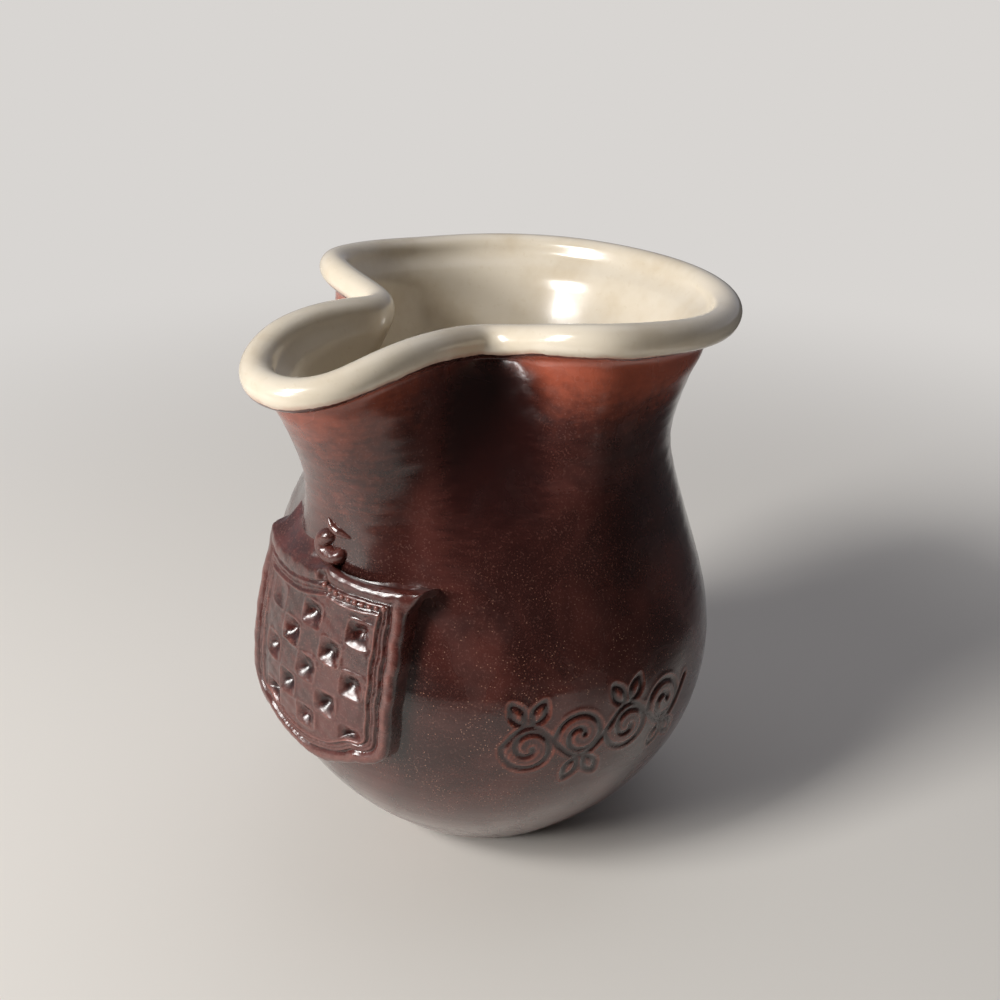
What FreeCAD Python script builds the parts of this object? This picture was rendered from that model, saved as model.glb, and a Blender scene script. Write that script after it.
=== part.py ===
import FreeCAD, Part
import math
import os

# A hand-thrown redware pitcher, one piece of fired clay.
# Millimetres, +Z up. The origin is the centre of the flat foot, and the spout points along -Y.
# The wall is thrown round, the mouth is pinched in behind the spout on both sides, the rim is
# rolled into a round bead, and a pressed shield of clay is stuck on the belly under the spout.

V = FreeCAD.Vector

# Overall form
HEIGHT = 125.0
FOOT_RADIUS = 24.5
BELLY_RADIUS = 50.4
BELLY_HEIGHT = 45.0
NECK_RADIUS = 38.7
NECK_HEIGHT = 98.0
WALL = 4.5
FLOOR = 5.5
BEAD_RADIUS = 3.2

# Shape of the curve from the foot to the belly: a higher power swells sooner
BELLY_POWER = 2.1

# Half of the mouth, along the middle of the bead, from the tip of the spout to the back:
# forward of the axis, to the side, and how far the rim dips there below its two highest points
MOUTH = [
    (55.5, 0.0, 6.6),
    (54.2, 6.0, 6.2),
    (50.6, 10.4, 4.9),
    (44.5, 13.1, 3.0),
    (36.0, 14.0, 1.9),
    (27.0, 13.9, 2.1),
    (19.8, 13.9, 2.9),
    (15.2, 16.2, 3.3),
    (13.3, 22.0, 2.4),
    (12.6, 29.5, 0.8),
    (9.3, 36.8, 0.0),
    (1.5, 41.0, 0.6),
    (-10.5, 43.0, 2.0),
    (-22.5, 41.4, 3.2),
    (-33.5, 36.3, 3.6),
    (-42.2, 27.2, 3.6),
    (-47.8, 14.6, 3.5),
    (-49.7, 0.0, 3.5),
]
MEAN_DIP = 2.8

# How the round neck turns into the mouth: depth below the rim where each change starts, and
# how sharply it comes on. The spout starts low, the flare of the rim only near the top.
SPOUT_DEPTH = 57.0
SPOUT_POWER = 1.5
PINCH_DEPTH = 49.0
PINCH_POWER = 1.6
FLARE_DEPTH = 31.0
FLARE_POWER = 1.9
DIP_DEPTH = 39.0
DIP_POWER = 2.0

# Points of the mouth within this many degrees of the spout's direction belong to the spout
SPOUT_HALF_ANGLE = 40.0

# Where the rings lie that carry the skin, as shares of the height of each stretch
BELLY_SHARES = (0.0, 0.045, 0.14, 0.28, 0.46, 0.7)
NECK_SHARES = (0.0, 0.2, 0.38, 0.54, 0.68, 0.8, 0.9, 1.0)
FLARE_SHARES = (0.3, 0.55, 0.78, 0.97)
INSIDE_SHARES = (0.97, 0.93, 0.87, 0.79, 0.71, 0.62, 0.52, 0.41, 0.3, 0.2, 0.12, 0.06)

# The rounded edge of the floor inside: share of the inside radius there, and rise as a share of the depth
FLOOR_EDGE = ((0.88, 0.016), (0.7, 0.003), (0.55, 0.0))

# Degrees round the bead's section, from its outer underside over the top to its inner side
BEAD_FROM = -60
BEAD_TO = 180
BEAD_STEP = 30

# The shield, seen from the front. Its middle lies a little to -X of the spout's line. The upper
# corner on +X flares out and stands higher than the other one.
SHIELD_HALF_WIDTH = 21.9
SHIELD_SHIFT = -0.7
SHIELD_TOP = 78.2
SHIELD_BOTTOM = 34.2
LEFT_DROP = 1.6
CORNER_FLARE = 3.6
FLARE_HEIGHT = 9.0
SHIELD_CORNER = 8.0
SHIELD_SAG = 4.0
SCALLOP_DEPTH = 1.5
CUSP_SIDE = 2.8
CUSP_DIP = 0.4

# How far the shield stands out from the belly, and how much further its upper lip does.
# It was stuck on a little askew: its upper part leans towards +X by some degrees.
SHIELD_PROUD = 3.6
SHIELD_LIP = 1.9
SHIELD_LEAN = 3.9
SHIELD_EDGE = 0.9

# The round layers that the shield is cut from reach a little over its top
LAYER_SPARE = 1.0

# Bands inside the shield's edge: a roll, a groove, a cord, a groove and a fine ridge round the field
ROLL_WIDTH = 2.9
GROOVE_WIDTH = 0.55
CORD_WIDTH = 1.15
RIDGE_WIDTH = 0.85
GROOVE_DEPTH = 0.7
FIELD_DEPTH = 0.5

# The chequered field: every second square is a pit with sloping sides
CHECK_COUNT = 5
CHECK_WIDTH = 6.0
CHECK_HEIGHT = 5.6
CHECK_MIDDLE = 55.5
CHECK_MARGIN = 0.5
PIT_DEPTH = 1.3
PIT_TAPER = 3.2

# The curl of clay on the wall above the shield
CURL_RADIUS = 3.4
CURL_TUBE = 1.7
CURL_SWEEP = 280.0
CURL_START = 95.0
CURL_SIDE = -0.2
CURL_RISE = 2.3
CURL_SINK = 0.3


def rim_level():
    """Height of the bead's middle at the two highest points of the rim."""
    return HEIGHT - BEAD_RADIUS


def shoulder_level():
    """Height that the wall's blends are measured from: the bead's middle, averaged round the rim."""
    return rim_level() - MEAN_DIP


def body_radius(z):
    """Outside radius of the round thrown body at height z."""
    if z < BELLY_HEIGHT:
        rise = 1.0 - max(z, 0.0) / BELLY_HEIGHT
        return BELLY_RADIUS - (BELLY_RADIUS - FOOT_RADIUS) * rise ** BELLY_POWER
    s = min((z - BELLY_HEIGHT) / (NECK_HEIGHT - BELLY_HEIGHT), 1.0)
    return BELLY_RADIUS - (BELLY_RADIUS - NECK_RADIUS) * s * s * (3.0 - 2.0 * s)


def body_slope(z):
    """How fast the outside radius grows with height."""
    step = 0.5
    return (body_radius(z + step) - body_radius(z)) / step


def mouth_loop():
    """The whole mouth as (angle from the spout, radius, dip), once round."""
    side = [(math.atan2(y, x), math.hypot(x, y), dip) for x, y, dip in MOUTH]
    other = [(2.0 * math.pi - a, r, dip) for a, r, dip in reversed(side[1:-1])]
    return side + other


def loop_parameters(loop):
    """Shared parameters of every ring, halfway between equal angles and equal lengths."""
    turns = []
    chords = []
    for (a0, r0, _), (a1, r1, _) in zip(loop, loop[1:] + loop[:1]):
        step = (a1 - a0) % (2.0 * math.pi)
        turns.append(step / (2.0 * math.pi))
        chords.append(math.sqrt(r0 * r0 + r1 * r1 - 2.0 * r0 * r1 * math.cos(step)))
    total = sum(chords)
    values = [0.0]
    for turn, chord in zip(turns, chords):
        values.append(values[-1] + 0.5 * turn + 0.5 * chord / total)
    return values


LOOP = mouth_loop()
TURN = loop_parameters(LOOP)


def blend(depth, below, power):
    """0 where the change starts, 1 at the rim."""
    return max(1.0 - depth / below, 0.0) ** power


def polar(angle, radius, z):
    """A point at an angle from the spout's direction."""
    return V(radius * math.sin(angle), -radius * math.cos(angle), z)


def wall_ring(z):
    """Points of the outer wall at height z, round where it is low and the mouth's shape at the rim."""
    depth = shoulder_level() - z
    points = []
    for angle, mouth, dip in LOOP:
        radius = body_radius(z)
        change = mouth - NECK_RADIUS
        if change < 0.0:
            radius += change * blend(depth, PINCH_DEPTH, PINCH_POWER)
        elif math.cos(angle) > math.cos(math.radians(SPOUT_HALF_ANGLE)):
            radius += change * blend(depth, SPOUT_DEPTH, SPOUT_POWER)
        else:
            radius += change * blend(depth, FLARE_DEPTH, FLARE_POWER)
        lift = (MEAN_DIP - dip) * blend(depth, DIP_DEPTH, DIP_POWER)
        points.append(polar(angle, radius, z + lift))
    return points


def rim_ring():
    """Points along the middle of the bead."""
    return [polar(angle, radius, rim_level() - dip) for angle, radius, dip in LOOP]


def ring_curve(points):
    """A smooth closed curve through a ring of points, with the shared parameters."""
    curve = Part.BSplineCurve()
    curve.interpolate(Points=points, PeriodicFlag=True, Parameters=TURN)
    return curve


def pushed(points, out, up=0.0):
    """A ring moved out along its own normal and up."""
    curve = ring_curve(points)
    moved = []
    for point, turn in zip(points, TURN):
        along = curve.tangent(turn)[0]
        normal = V(along.y, -along.x, 0.0).normalize()
        moved.append(point + normal * out + V(0.0, 0.0, up))
    return moved


def belly_rings():
    """Rings from the foot up to the widest part of the belly."""
    return [wall_ring(BELLY_HEIGHT * share) for share in BELLY_SHARES]


def neck_rings():
    """Rings from the belly up the neck to just under the bead."""
    rise = NECK_HEIGHT - BELLY_HEIGHT
    heights = [BELLY_HEIGHT + rise * share for share in NECK_SHARES]
    flare = shoulder_level() - BEAD_RADIUS - NECK_HEIGHT
    heights += [NECK_HEIGHT + flare * share for share in FLARE_SHARES]
    return [wall_ring(z) for z in heights]


def bead_rings():
    """Rings round the bead, from its outer underside over the top to its inner side."""
    rim = rim_ring()
    rings = []
    for degrees in range(BEAD_FROM, BEAD_TO + 1, BEAD_STEP):
        a = math.radians(degrees)
        rings.append(pushed(rim, BEAD_RADIUS * math.cos(a), BEAD_RADIUS * math.sin(a)))
    return rings


def inner_rings():
    """Rings down the inside, from under the bead to the edge of the flat floor."""
    drop = shoulder_level() - FLOOR
    rings = []
    for share in INSIDE_SHARES:
        z = FLOOR + drop * share
        rings.append(pushed(wall_ring(z), -WALL * math.hypot(1.0, body_slope(z))))
    inside = body_radius(FLOOR) - WALL * math.hypot(1.0, body_slope(FLOOR))
    for share, lift in FLOOR_EDGE:
        rings.append([polar(angle, inside * share, FLOOR + drop * lift) for angle, _, _ in LOOP])
    return rings


def skin(bands):
    """One smooth surface through all the rings, as one face for each band of rings."""
    rings = [ring for band in bands for ring in band]
    curves = [ring_curve(ring) for ring in rings]
    poles = [curve.getPoles() for curve in curves]
    along = [0.0]
    for low, high in zip(rings, rings[1:]):
        gaps = [(a - b).Length for a, b in zip(low, high)]
        along.append(along[-1] + sum(gaps) / len(gaps))
    columns = []
    for i in range(len(poles[0])):
        column = Part.BSplineCurve()
        column.interpolate(Points=[row[i] for row in poles], Parameters=along)
        columns.append(column)
    surface = Part.BSplineSurface()
    surface.buildFromPolesMultsKnots(
        [column.getPoles() for column in columns],
        curves[0].getMultiplicities(), columns[0].getMultiplicities(),
        curves[0].getKnots(), columns[0].getKnots(),
        True, False, curves[0].Degree, columns[0].Degree)
    faces = []
    first = 0
    for band in bands:
        last = min(first + len(band), len(rings) - 1)
        strip = surface.copy()
        strip.segment(TURN[0], TURN[-1], along[first], along[last])
        faces.append(strip.toShape())
        first = last
    return faces


def cap(face, z):
    """A flat face across the open end of the skin at height z."""
    edges = [e for e in face.Edges if e.BoundBox.ZLength < 0.01 and abs(e.BoundBox.ZMin - z) < 0.01]
    return Part.Face(Part.Wire(edges))


def pot():
    """The thrown and pinched pot: its skin, closed by the foot and by the floor inside."""
    side = skin([belly_rings(), neck_rings(), bead_rings(), inner_rings()])
    skins = Part.Compound(side + [cap(side[0], 0.0), cap(side[-1], FLOOR)])
    skins.sewShape()
    return Part.Solid(skins.Shells[0])


def spout_side_radius(z):
    """Outside radius of the wall under the middle of the spout at height z."""
    depth = shoulder_level() - z
    return body_radius(z) + (MOUTH[0][0] - NECK_RADIUS) * blend(depth, SPOUT_DEPTH, SPOUT_POWER)


def shield_radius(z):
    """Distance of the shield's face from the axis: it stands straighter than the shoulder."""
    s = max((z - BELLY_HEIGHT) / (SHIELD_TOP - BELLY_HEIGHT), 0.0)
    return body_radius(z) + SHIELD_PROUD + SHIELD_LIP * s * s


def shield_slope(z):
    """How fast the shield's face moves outwards with height."""
    step = 1.0
    return (shield_radius(z + 0.5 * step) - shield_radius(z - 0.5 * step)) / step


def leaned(shape):
    """Turns a shape of the shield about the belly's widest height, as the whole shield leans."""
    shape.rotate(V(0.0, 0.0, BELLY_HEIGHT), V(0.0, 1.0, 0.0), SHIELD_LEAN)
    return shape


def upright_place(x, z):
    """Where a place of the drawing lay before the shield was leaned."""
    lean = math.radians(SHIELD_LEAN)
    rise = z - BELLY_HEIGHT
    across = x * math.cos(lean) - rise * math.sin(lean)
    return across, BELLY_HEIGHT + x * math.sin(lean) + rise * math.cos(lean)


def front(x, z):
    """A point of the flat drawing that the shield is cut from."""
    return V(x, 0.0, z)


def right_side(w, flare, turn):
    """The right side of the outline, from its lower round corner up to its flared upper corner."""
    bend = SHIELD_TOP - FLARE_HEIGHT
    if flare == 0.0:
        return [Part.LineSegment(front(w, turn), front(w, SHIELD_TOP))]
    radius = (flare * flare + FLARE_HEIGHT * FLARE_HEIGHT) / (2.0 * flare)
    half = 0.5 * math.asin(FLARE_HEIGHT / radius)
    middle = front(w + radius * (1.0 - math.cos(half)), bend + radius * math.sin(half))
    return [
        Part.LineSegment(front(w, turn), front(w, bend)),
        Part.Arc(front(w, bend), middle, front(w + flare, SHIELD_TOP)),
    ]


def corner_bulge():
    """How far the round lower corners stay inside a square one, across and upwards."""
    return SHIELD_CORNER * (1.0 - math.sqrt(0.5))


def shield_outline(flare=CORNER_FLARE):
    """The shield's outline from the front: two scallops and a cusp on top, round lower corners."""
    left = SHIELD_SHIFT - SHIELD_HALF_WIDTH
    right = SHIELD_SHIFT + SHIELD_HALF_WIDTH
    low = SHIELD_BOTTOM + SHIELD_SAG
    turn = low + SHIELD_CORNER
    bulge = corner_bulge()
    cusp = front(CUSP_SIDE, SHIELD_TOP - CUSP_DIP)
    dip = SHIELD_TOP - SCALLOP_DEPTH
    left_top = front(left, SHIELD_TOP - LEFT_DROP)
    left_bend = front(left + SHIELD_CORNER, low)
    right_bend = front(right - SHIELD_CORNER, low)
    edges = [
        Part.Arc(front(right + flare, SHIELD_TOP), front(0.5 * (right + CUSP_SIDE), dip), cusp),
        Part.Arc(cusp, front(0.5 * (left + CUSP_SIDE), dip - LEFT_DROP), left_top),
        Part.LineSegment(left_top, front(left, turn)),
        Part.Arc(front(left, turn), front(left + bulge, low + bulge), left_bend),
        Part.Arc(left_bend, front(SHIELD_SHIFT, SHIELD_BOTTOM), right_bend),
        Part.Arc(right_bend, front(right - bulge, low + bulge), front(right, turn)),
        *right_side(right, flare, turn),
    ]
    return Part.Wire([edge.toShape() for edge in edges])


def inset(distance):
    """The shield's outline moved inwards, without the flare of its upper corners."""
    return shield_outline(flare=0.0).makeOffset2D(-distance)


def prism(outer, hole=None):
    """A bar of the drawn outline, running forward from the axis."""
    wires = [outer] if hole is None else [outer, hole]
    return Part.Face(wires, "Part::FaceMakerBullseye").extrude(V(0.0, -2.0 * BELLY_RADIUS, 0.0))


def layer(inner, outer):
    """The front sector of a round shell between two radii that depend on the height."""
    low = SHIELD_BOTTOM - SHIELD_CORNER
    steps = 8
    heights = [low + (SHIELD_TOP + LAYER_SPARE - low) * i / steps for i in range(steps + 1)]
    back = Part.BSplineCurve()
    back.interpolate([V(0.0, -inner(z), z) for z in heights])
    face = Part.BSplineCurve()
    face.interpolate([V(0.0, -outer(z), z) for z in heights])
    ends = [Part.LineSegment(back.value(back.getKnot(i)), face.value(face.getKnot(i)))
            for i in (1, back.NbKnots)]
    section = Part.Face(Part.Wire([back.toShape(), ends[1].toShape(), face.toShape(), ends[0].toShape()]))
    sector = 100.0
    section.rotate(V(0, 0, 0), V(0, 0, 1), -0.5 * sector)
    return leaned(section.revolve(V(0, 0, 0), V(0, 0, 1), sector))


def sunk(depth):
    """The layer of the shield's face down to a depth, open outwards."""
    return layer(lambda z: shield_radius(z) - depth, lambda z: shield_radius(z) + WALL)


def slab():
    """The plain shield, from inside the pot's wall out to its face, softened along sides and foot."""
    body = prism(shield_outline()).common(layer(lambda z: body_radius(z) - 0.5 * WALL, shield_radius))
    solid = body.Solids[0]
    # The rounding starts at the right lower corner and runs on along the edges tangent to it
    x = SHIELD_SHIFT + SHIELD_HALF_WIDTH - corner_bulge()
    z = SHIELD_BOTTOM + SHIELD_SAG + corner_bulge()
    spot = Part.Vertex(V(x, -math.sqrt(body_radius(z) ** 2 - x * x), z))
    corner = min(solid.Faces, key=lambda f: f.distToShape(spot)[0])
    return solid.makeFillet(SHIELD_EDGE, corner.OuterWire.Edges)


def pit(x, z):
    """One sunk square of the field, at x along the face's curve from the middle and at height z."""
    x, z = upright_place(x, z)
    radius = shield_radius(z)
    lean = math.atan(shield_slope(z))
    wires = []
    for out in (PIT_DEPTH, -PIT_DEPTH):
        grow = PIT_TAPER * out / PIT_DEPTH
        w = 0.5 * (CHECK_WIDTH + grow) - CHECK_MARGIN
        h = 0.5 * (CHECK_HEIGHT + grow) - CHECK_MARGIN
        corners = [V(-w, -out, -h), V(w, -out, -h), V(w, -out, h), V(-w, -out, h)]
        wires.append(Part.makePolygon(corners + corners[:1]))
    block = Part.makeLoft(wires, True, True)
    block.rotate(V(0, 0, 0), V(1, 0, 0), -math.degrees(lean))
    block.translate(V(0.0, FIELD_DEPTH - radius, z))
    block.rotate(V(0, 0, 0), V(0, 0, 1), math.degrees(x / radius))
    return leaned(block)


def pits():
    """Every second square of the field, the corner squares among them."""
    half = (CHECK_COUNT - 1) / 2.0
    return [pit((column - half) * CHECK_WIDTH, CHECK_MIDDLE + (row - half) * CHECK_HEIGHT)
            for column in range(CHECK_COUNT) for row in range(CHECK_COUNT) if (column + row) % 2 == 0]


def grooves():
    """The two grooves round the shield, and its sunk field."""
    first = ROLL_WIDTH
    second = first + GROOVE_WIDTH + CORD_WIDTH
    field = second + GROOVE_WIDTH + RIDGE_WIDTH
    cuts = []
    for start in (first, second):
        ring = prism(inset(start), inset(start + GROOVE_WIDTH))
        cuts.append(ring.common(sunk(GROOVE_DEPTH)))
    cuts.append(prism(inset(field)).common(sunk(FIELD_DEPTH)))
    return cuts


def curl():
    """A short roll of clay bent into a curl on the wall above the shield's cusp."""
    z = SHIELD_TOP + CURL_RISE
    radius = spout_side_radius(z) - CURL_SINK
    ring = Part.makeTorus(CURL_RADIUS, CURL_TUBE, V(0, 0, 0), V(0, 0, 1), -180, 180, CURL_SWEEP)
    parts = [ring]
    for degrees in (0.0, CURL_SWEEP):
        a = math.radians(degrees)
        parts.append(Part.makeSphere(CURL_TUBE, V(CURL_RADIUS * math.cos(a), CURL_RADIUS * math.sin(a), 0)))
    solid = parts[0].fuse(parts[1:]).removeSplitter()
    solid.rotate(V(0, 0, 0), V(0, 0, 1), CURL_START)
    solid.rotate(V(0, 0, 0), V(1, 0, 0), 90.0)
    solid.translate(V(0.0, -radius, z))
    solid.rotate(V(0, 0, 0), V(0, 0, 1), math.degrees(CURL_SIDE / radius))
    return solid


def main():
    os.makedirs("parts", exist_ok=True)
    shield = slab().cut(grooves() + pits())
    pitcher = pot().fuse([shield, curl()])
    volume = round(pitcher.Volume / 1000.0, 1)
    print("solids", len(pitcher.Solids), "valid", pitcher.isValid(), "volume", volume, "ml")
    pitcher.Solids[0].exportStep("parts/pitcher.step")


main()
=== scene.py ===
# %% [markdown]
# This lesson dresses a hand-thrown redware pitcher. It is one piece of fired clay: a round pot whose
# mouth was pinched in behind the spout, a rolled rim, and a pressed shield of clay stuck on the belly.
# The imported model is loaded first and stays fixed. Everything here is drawn in millimetres, in the
# same place as that model, and turned into metres when a mesh is made.

import math

import bpy
import numpy as np
from mathutils import Matrix, Vector


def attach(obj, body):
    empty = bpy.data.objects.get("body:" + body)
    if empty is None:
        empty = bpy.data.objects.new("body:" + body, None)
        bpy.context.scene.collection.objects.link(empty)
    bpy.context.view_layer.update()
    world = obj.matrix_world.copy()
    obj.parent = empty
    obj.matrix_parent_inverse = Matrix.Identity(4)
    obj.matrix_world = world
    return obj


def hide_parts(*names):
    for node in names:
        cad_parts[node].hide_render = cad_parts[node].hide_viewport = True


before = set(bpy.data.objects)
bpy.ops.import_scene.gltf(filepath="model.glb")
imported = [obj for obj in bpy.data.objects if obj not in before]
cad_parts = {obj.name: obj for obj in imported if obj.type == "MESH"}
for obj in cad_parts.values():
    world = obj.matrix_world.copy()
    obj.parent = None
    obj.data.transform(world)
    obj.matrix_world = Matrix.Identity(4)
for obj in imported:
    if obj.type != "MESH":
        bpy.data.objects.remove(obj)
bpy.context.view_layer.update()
MM = 0.001

# %% [markdown]
# The camera comes first, because every later choice is judged through it. Its place and its angles
# were worked out from the ellipses of the rim and the belly, as a tripod would be read off: where it
# stands, which way it heads, how far it tips down, and a slight roll of the hand that held it.

# %% The camera
CAMERA_PLACE = (169.7, -182.0, 194.6)
CAMERA_HEADING = 42.302
CAMERA_TIP = 25.809
CAMERA_ROLL = 0.505
CAMERA_LENS = 44.966
CAMERA_SENSOR = 36.0
CAMERA_NEAREST = 0.01


def placed(data):
    """A new object in the scene for a mesh, a curve, a camera or a lamp, at the origin."""
    thing = bpy.data.objects.new(data.name, data)
    bpy.context.scene.collection.objects.link(thing)
    return thing


camera_data = bpy.data.cameras.new("camera")
camera_data.lens = CAMERA_LENS
camera_data.sensor_width = CAMERA_SENSOR
camera_data.clip_start = CAMERA_NEAREST
camera = placed(camera_data)
heading = Matrix.Rotation(math.radians(CAMERA_HEADING), 4, "Z")
tip = Matrix.Rotation(math.radians(90.0 - CAMERA_TIP), 4, "X")
roll = Matrix.Rotation(math.radians(CAMERA_ROLL), 4, "Z")
camera.matrix_world = Matrix.Translation(Vector(CAMERA_PLACE) * MM) @ heading @ tip @ roll
bpy.context.scene.camera = camera
print("camera at", [round(value, 3) for value in camera.matrix_world.translation])

# %% [markdown]
# The sizes below are those of the thrown pot. The mouth is half of a closed line along the middle of
# the rolled rim: how far forward of the axis, how far to the side, and how far it dips.

# %% Sizes of the thrown pot
HEIGHT = 125.0
FOOT_RADIUS = 24.5
BELLY_RADIUS = 50.4
BELLY_HEIGHT = 45.0
NECK_RADIUS = 38.7
NECK_HEIGHT = 98.0
WALL = 4.5
FLOOR = 5.5
BEAD_RADIUS = 3.2
BELLY_POWER = 2.1
MEAN_DIP = 2.8
MOUTH = [
    (55.5, 0.0, 6.6), (54.2, 6.0, 6.2), (50.6, 10.4, 4.9), (44.5, 13.1, 3.0), (36.0, 14.0, 1.9),
    (27.0, 13.9, 2.1), (19.8, 13.9, 2.9), (15.2, 16.2, 3.3), (13.3, 22.0, 2.4), (12.6, 29.5, 0.8),
    (9.3, 36.8, 0.0), (1.5, 41.0, 0.6), (-10.5, 43.0, 2.0), (-22.5, 41.4, 3.2), (-33.5, 36.3, 3.6),
    (-42.2, 27.2, 3.6), (-47.8, 14.6, 3.5), (-49.7, 0.0, 3.5),
]

# How far below the rim each change of shape starts, and how sharply it comes on
SPOUT_REACH = (57.0, 1.5)
PINCH_REACH = (49.0, 1.6)
FLARE_REACH = (31.0, 1.9)
DIP_REACH = (39.0, 2.0)
SPOUT_HALF_ANGLE = 40.0

RIM_LEVEL = HEIGHT - BEAD_RADIUS
SHOULDER = RIM_LEVEL - MEAN_DIP


def smoothstep(low, high, value):
    """0 below low, 1 above high, and an even S between."""
    share = np.clip((np.asarray(value, float) - low) / (high - low), 0.0, 1.0)
    return share * share * (3.0 - 2.0 * share)


def body_radius(z):
    """Outside radius of the round thrown body."""
    z = np.asarray(z, float)
    rise = 1.0 - np.clip(z, 0.0, BELLY_HEIGHT) / BELLY_HEIGHT
    below = BELLY_RADIUS - (BELLY_RADIUS - FOOT_RADIUS) * rise ** BELLY_POWER
    above = BELLY_RADIUS - (BELLY_RADIUS - NECK_RADIUS) * smoothstep(BELLY_HEIGHT, NECK_HEIGHT, z)
    return np.where(z < BELLY_HEIGHT, below, above)


def blend(z, reach):
    """0 where a change of shape starts, 1 at the rim."""
    return np.clip(1.0 - (SHOULDER - z) / reach[0], 0.0, 1.0) ** reach[1]


print("belly", BELLY_RADIUS, "neck", float(body_radius(NECK_HEIGHT)), "mm")

# %% [markdown]
# A thrown wall is smooth both round the pot and up it, so the skin is a net of splines. One helper
# gives the weights of a cubic spline through any knots, closed for the rings and open for the
# uprights, and two matrix products then carry a few dozen rings to a dense net of points.

# %% A spline as a table of weights


def spline_weights(knots, where, closed):
    """One row for each place: the weights of the knots' values in a smooth curve at that place."""
    knots = np.asarray(knots, float)
    count = len(knots) - 1 if closed else len(knots)
    gap = np.diff(knots)
    bend = np.zeros((count, count))
    pull = np.zeros((count, count))
    for i in range(count):
        if not closed and i in (0, count - 1):
            bend[i, i] = 1.0
            continue
        before, after = (i - 1) % count, (i + 1) % count
        left, right = gap[i - 1], gap[i]
        bend[i, before] += left / 6.0
        bend[i, i] += (left + right) / 3.0
        bend[i, after] += right / 6.0
        pull[i, before] += 1.0 / left
        pull[i, i] -= 1.0 / left + 1.0 / right
        pull[i, after] += 1.0 / right
    curve = np.linalg.solve(bend, pull)
    values = np.eye(count)
    where = np.asarray(where, float)
    cell = np.clip(np.searchsorted(knots, where, side="right") - 1, 0, len(gap) - 1)
    width = gap[cell][:, None]
    b = (where - knots[cell])[:, None] / width
    a = 1.0 - b
    nxt = (cell + 1) % count
    straight = a * values[cell] + b * values[nxt]
    return straight + ((a ** 3 - a) * curve[cell] + (b ** 3 - b) * curve[nxt]) * width ** 2 / 6.0


half = [(math.atan2(side, ahead), math.hypot(ahead, side), dip) for ahead, side, dip in MOUTH]
LOOP = np.array(half + [(math.tau - a, r, dip) for a, r, dip in half[-2:0:-1]])
turns = (np.roll(LOOP[:, 0], -1) - LOOP[:, 0]) % math.tau
next_radius = np.roll(LOOP[:, 1], -1)
corner_term = 2.0 * LOOP[:, 1] * next_radius * np.cos(turns)
chords = np.sqrt(LOOP[:, 1] ** 2 + next_radius ** 2 - corner_term)
shares = 0.5 * turns / math.tau + 0.5 * chords / chords.sum()
TURN = np.concatenate([[0.0], np.cumsum(shares)])
print("points round the mouth", len(LOOP))

# %% [markdown]
# Every ring of the wall has the same points round it. Low down they lie on a circle, and the change
# to the mouth's shape comes on upwards. Rings on the bead and inside are the wall's rings moved out
# or in along their own normals, as clay of an even thickness is.

# %% Rings of the skin
BELLY_SHARES = (0.0, 0.045, 0.14, 0.28, 0.46, 0.7)
NECK_SHARES = (0.0, 0.2, 0.38, 0.54, 0.68, 0.8, 0.9, 1.0)
FLARE_SHARES = (0.3, 0.55, 0.78, 0.97)
INSIDE_SHARES = (0.97, 0.93, 0.87, 0.79, 0.71, 0.62, 0.52, 0.41, 0.3, 0.2, 0.12, 0.06)
FLOOR_EDGE = ((0.88, 0.016), (0.7, 0.003), (0.55, 0.0))
BEAD_DEGREES = range(-60, 181, 30)


def polar(angle, radius, z):
    """Points at an angle from the spout's direction."""
    return np.stack([radius * np.sin(angle), -radius * np.cos(angle), z + 0.0 * angle], axis=-1)


def wall_radius(angle, mouth, z):
    """Outside radius of the wall below a point of the mouth, or of the mouth's line there."""
    change = mouth - NECK_RADIUS
    turn = np.abs((angle + math.pi) % math.tau - math.pi)
    in_spout = turn < math.radians(SPOUT_HALF_ANGLE)
    outward = np.where(in_spout, blend(z, SPOUT_REACH), blend(z, FLARE_REACH))
    return body_radius(z) + change * np.where(change < 0.0, blend(z, PINCH_REACH), outward)


def wall_ring(z):
    """Ring of the outer wall at a height."""
    lift = (MEAN_DIP - LOOP[:, 2]) * blend(z, DIP_REACH)
    return polar(LOOP[:, 0], wall_radius(LOOP[:, 0], LOOP[:, 1], z), z + lift)


def pushed(ring, out, up=0.0):
    """A ring moved out along its own normal, and up."""
    tiny = 1e-4
    ahead = spline_weights(TURN, (TURN[:-1] + tiny) % TURN[-1], True) @ ring
    behind = spline_weights(TURN, (TURN[:-1] - tiny) % TURN[-1], True) @ ring
    along = ahead - behind
    normal = np.stack([along[:, 1], -along[:, 0], 0.0 * along[:, 0]], axis=1)
    normal /= np.linalg.norm(normal, axis=1)[:, None]
    return ring + normal * out + np.array([0.0, 0.0, up])


def wall_thickness(z):
    """How far in the inner wall lies: the clay is of one thickness across the slope."""
    step = 0.5
    slope = (body_radius(z + step) - body_radius(z)) / step
    return WALL * np.hypot(1.0, slope)


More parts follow.
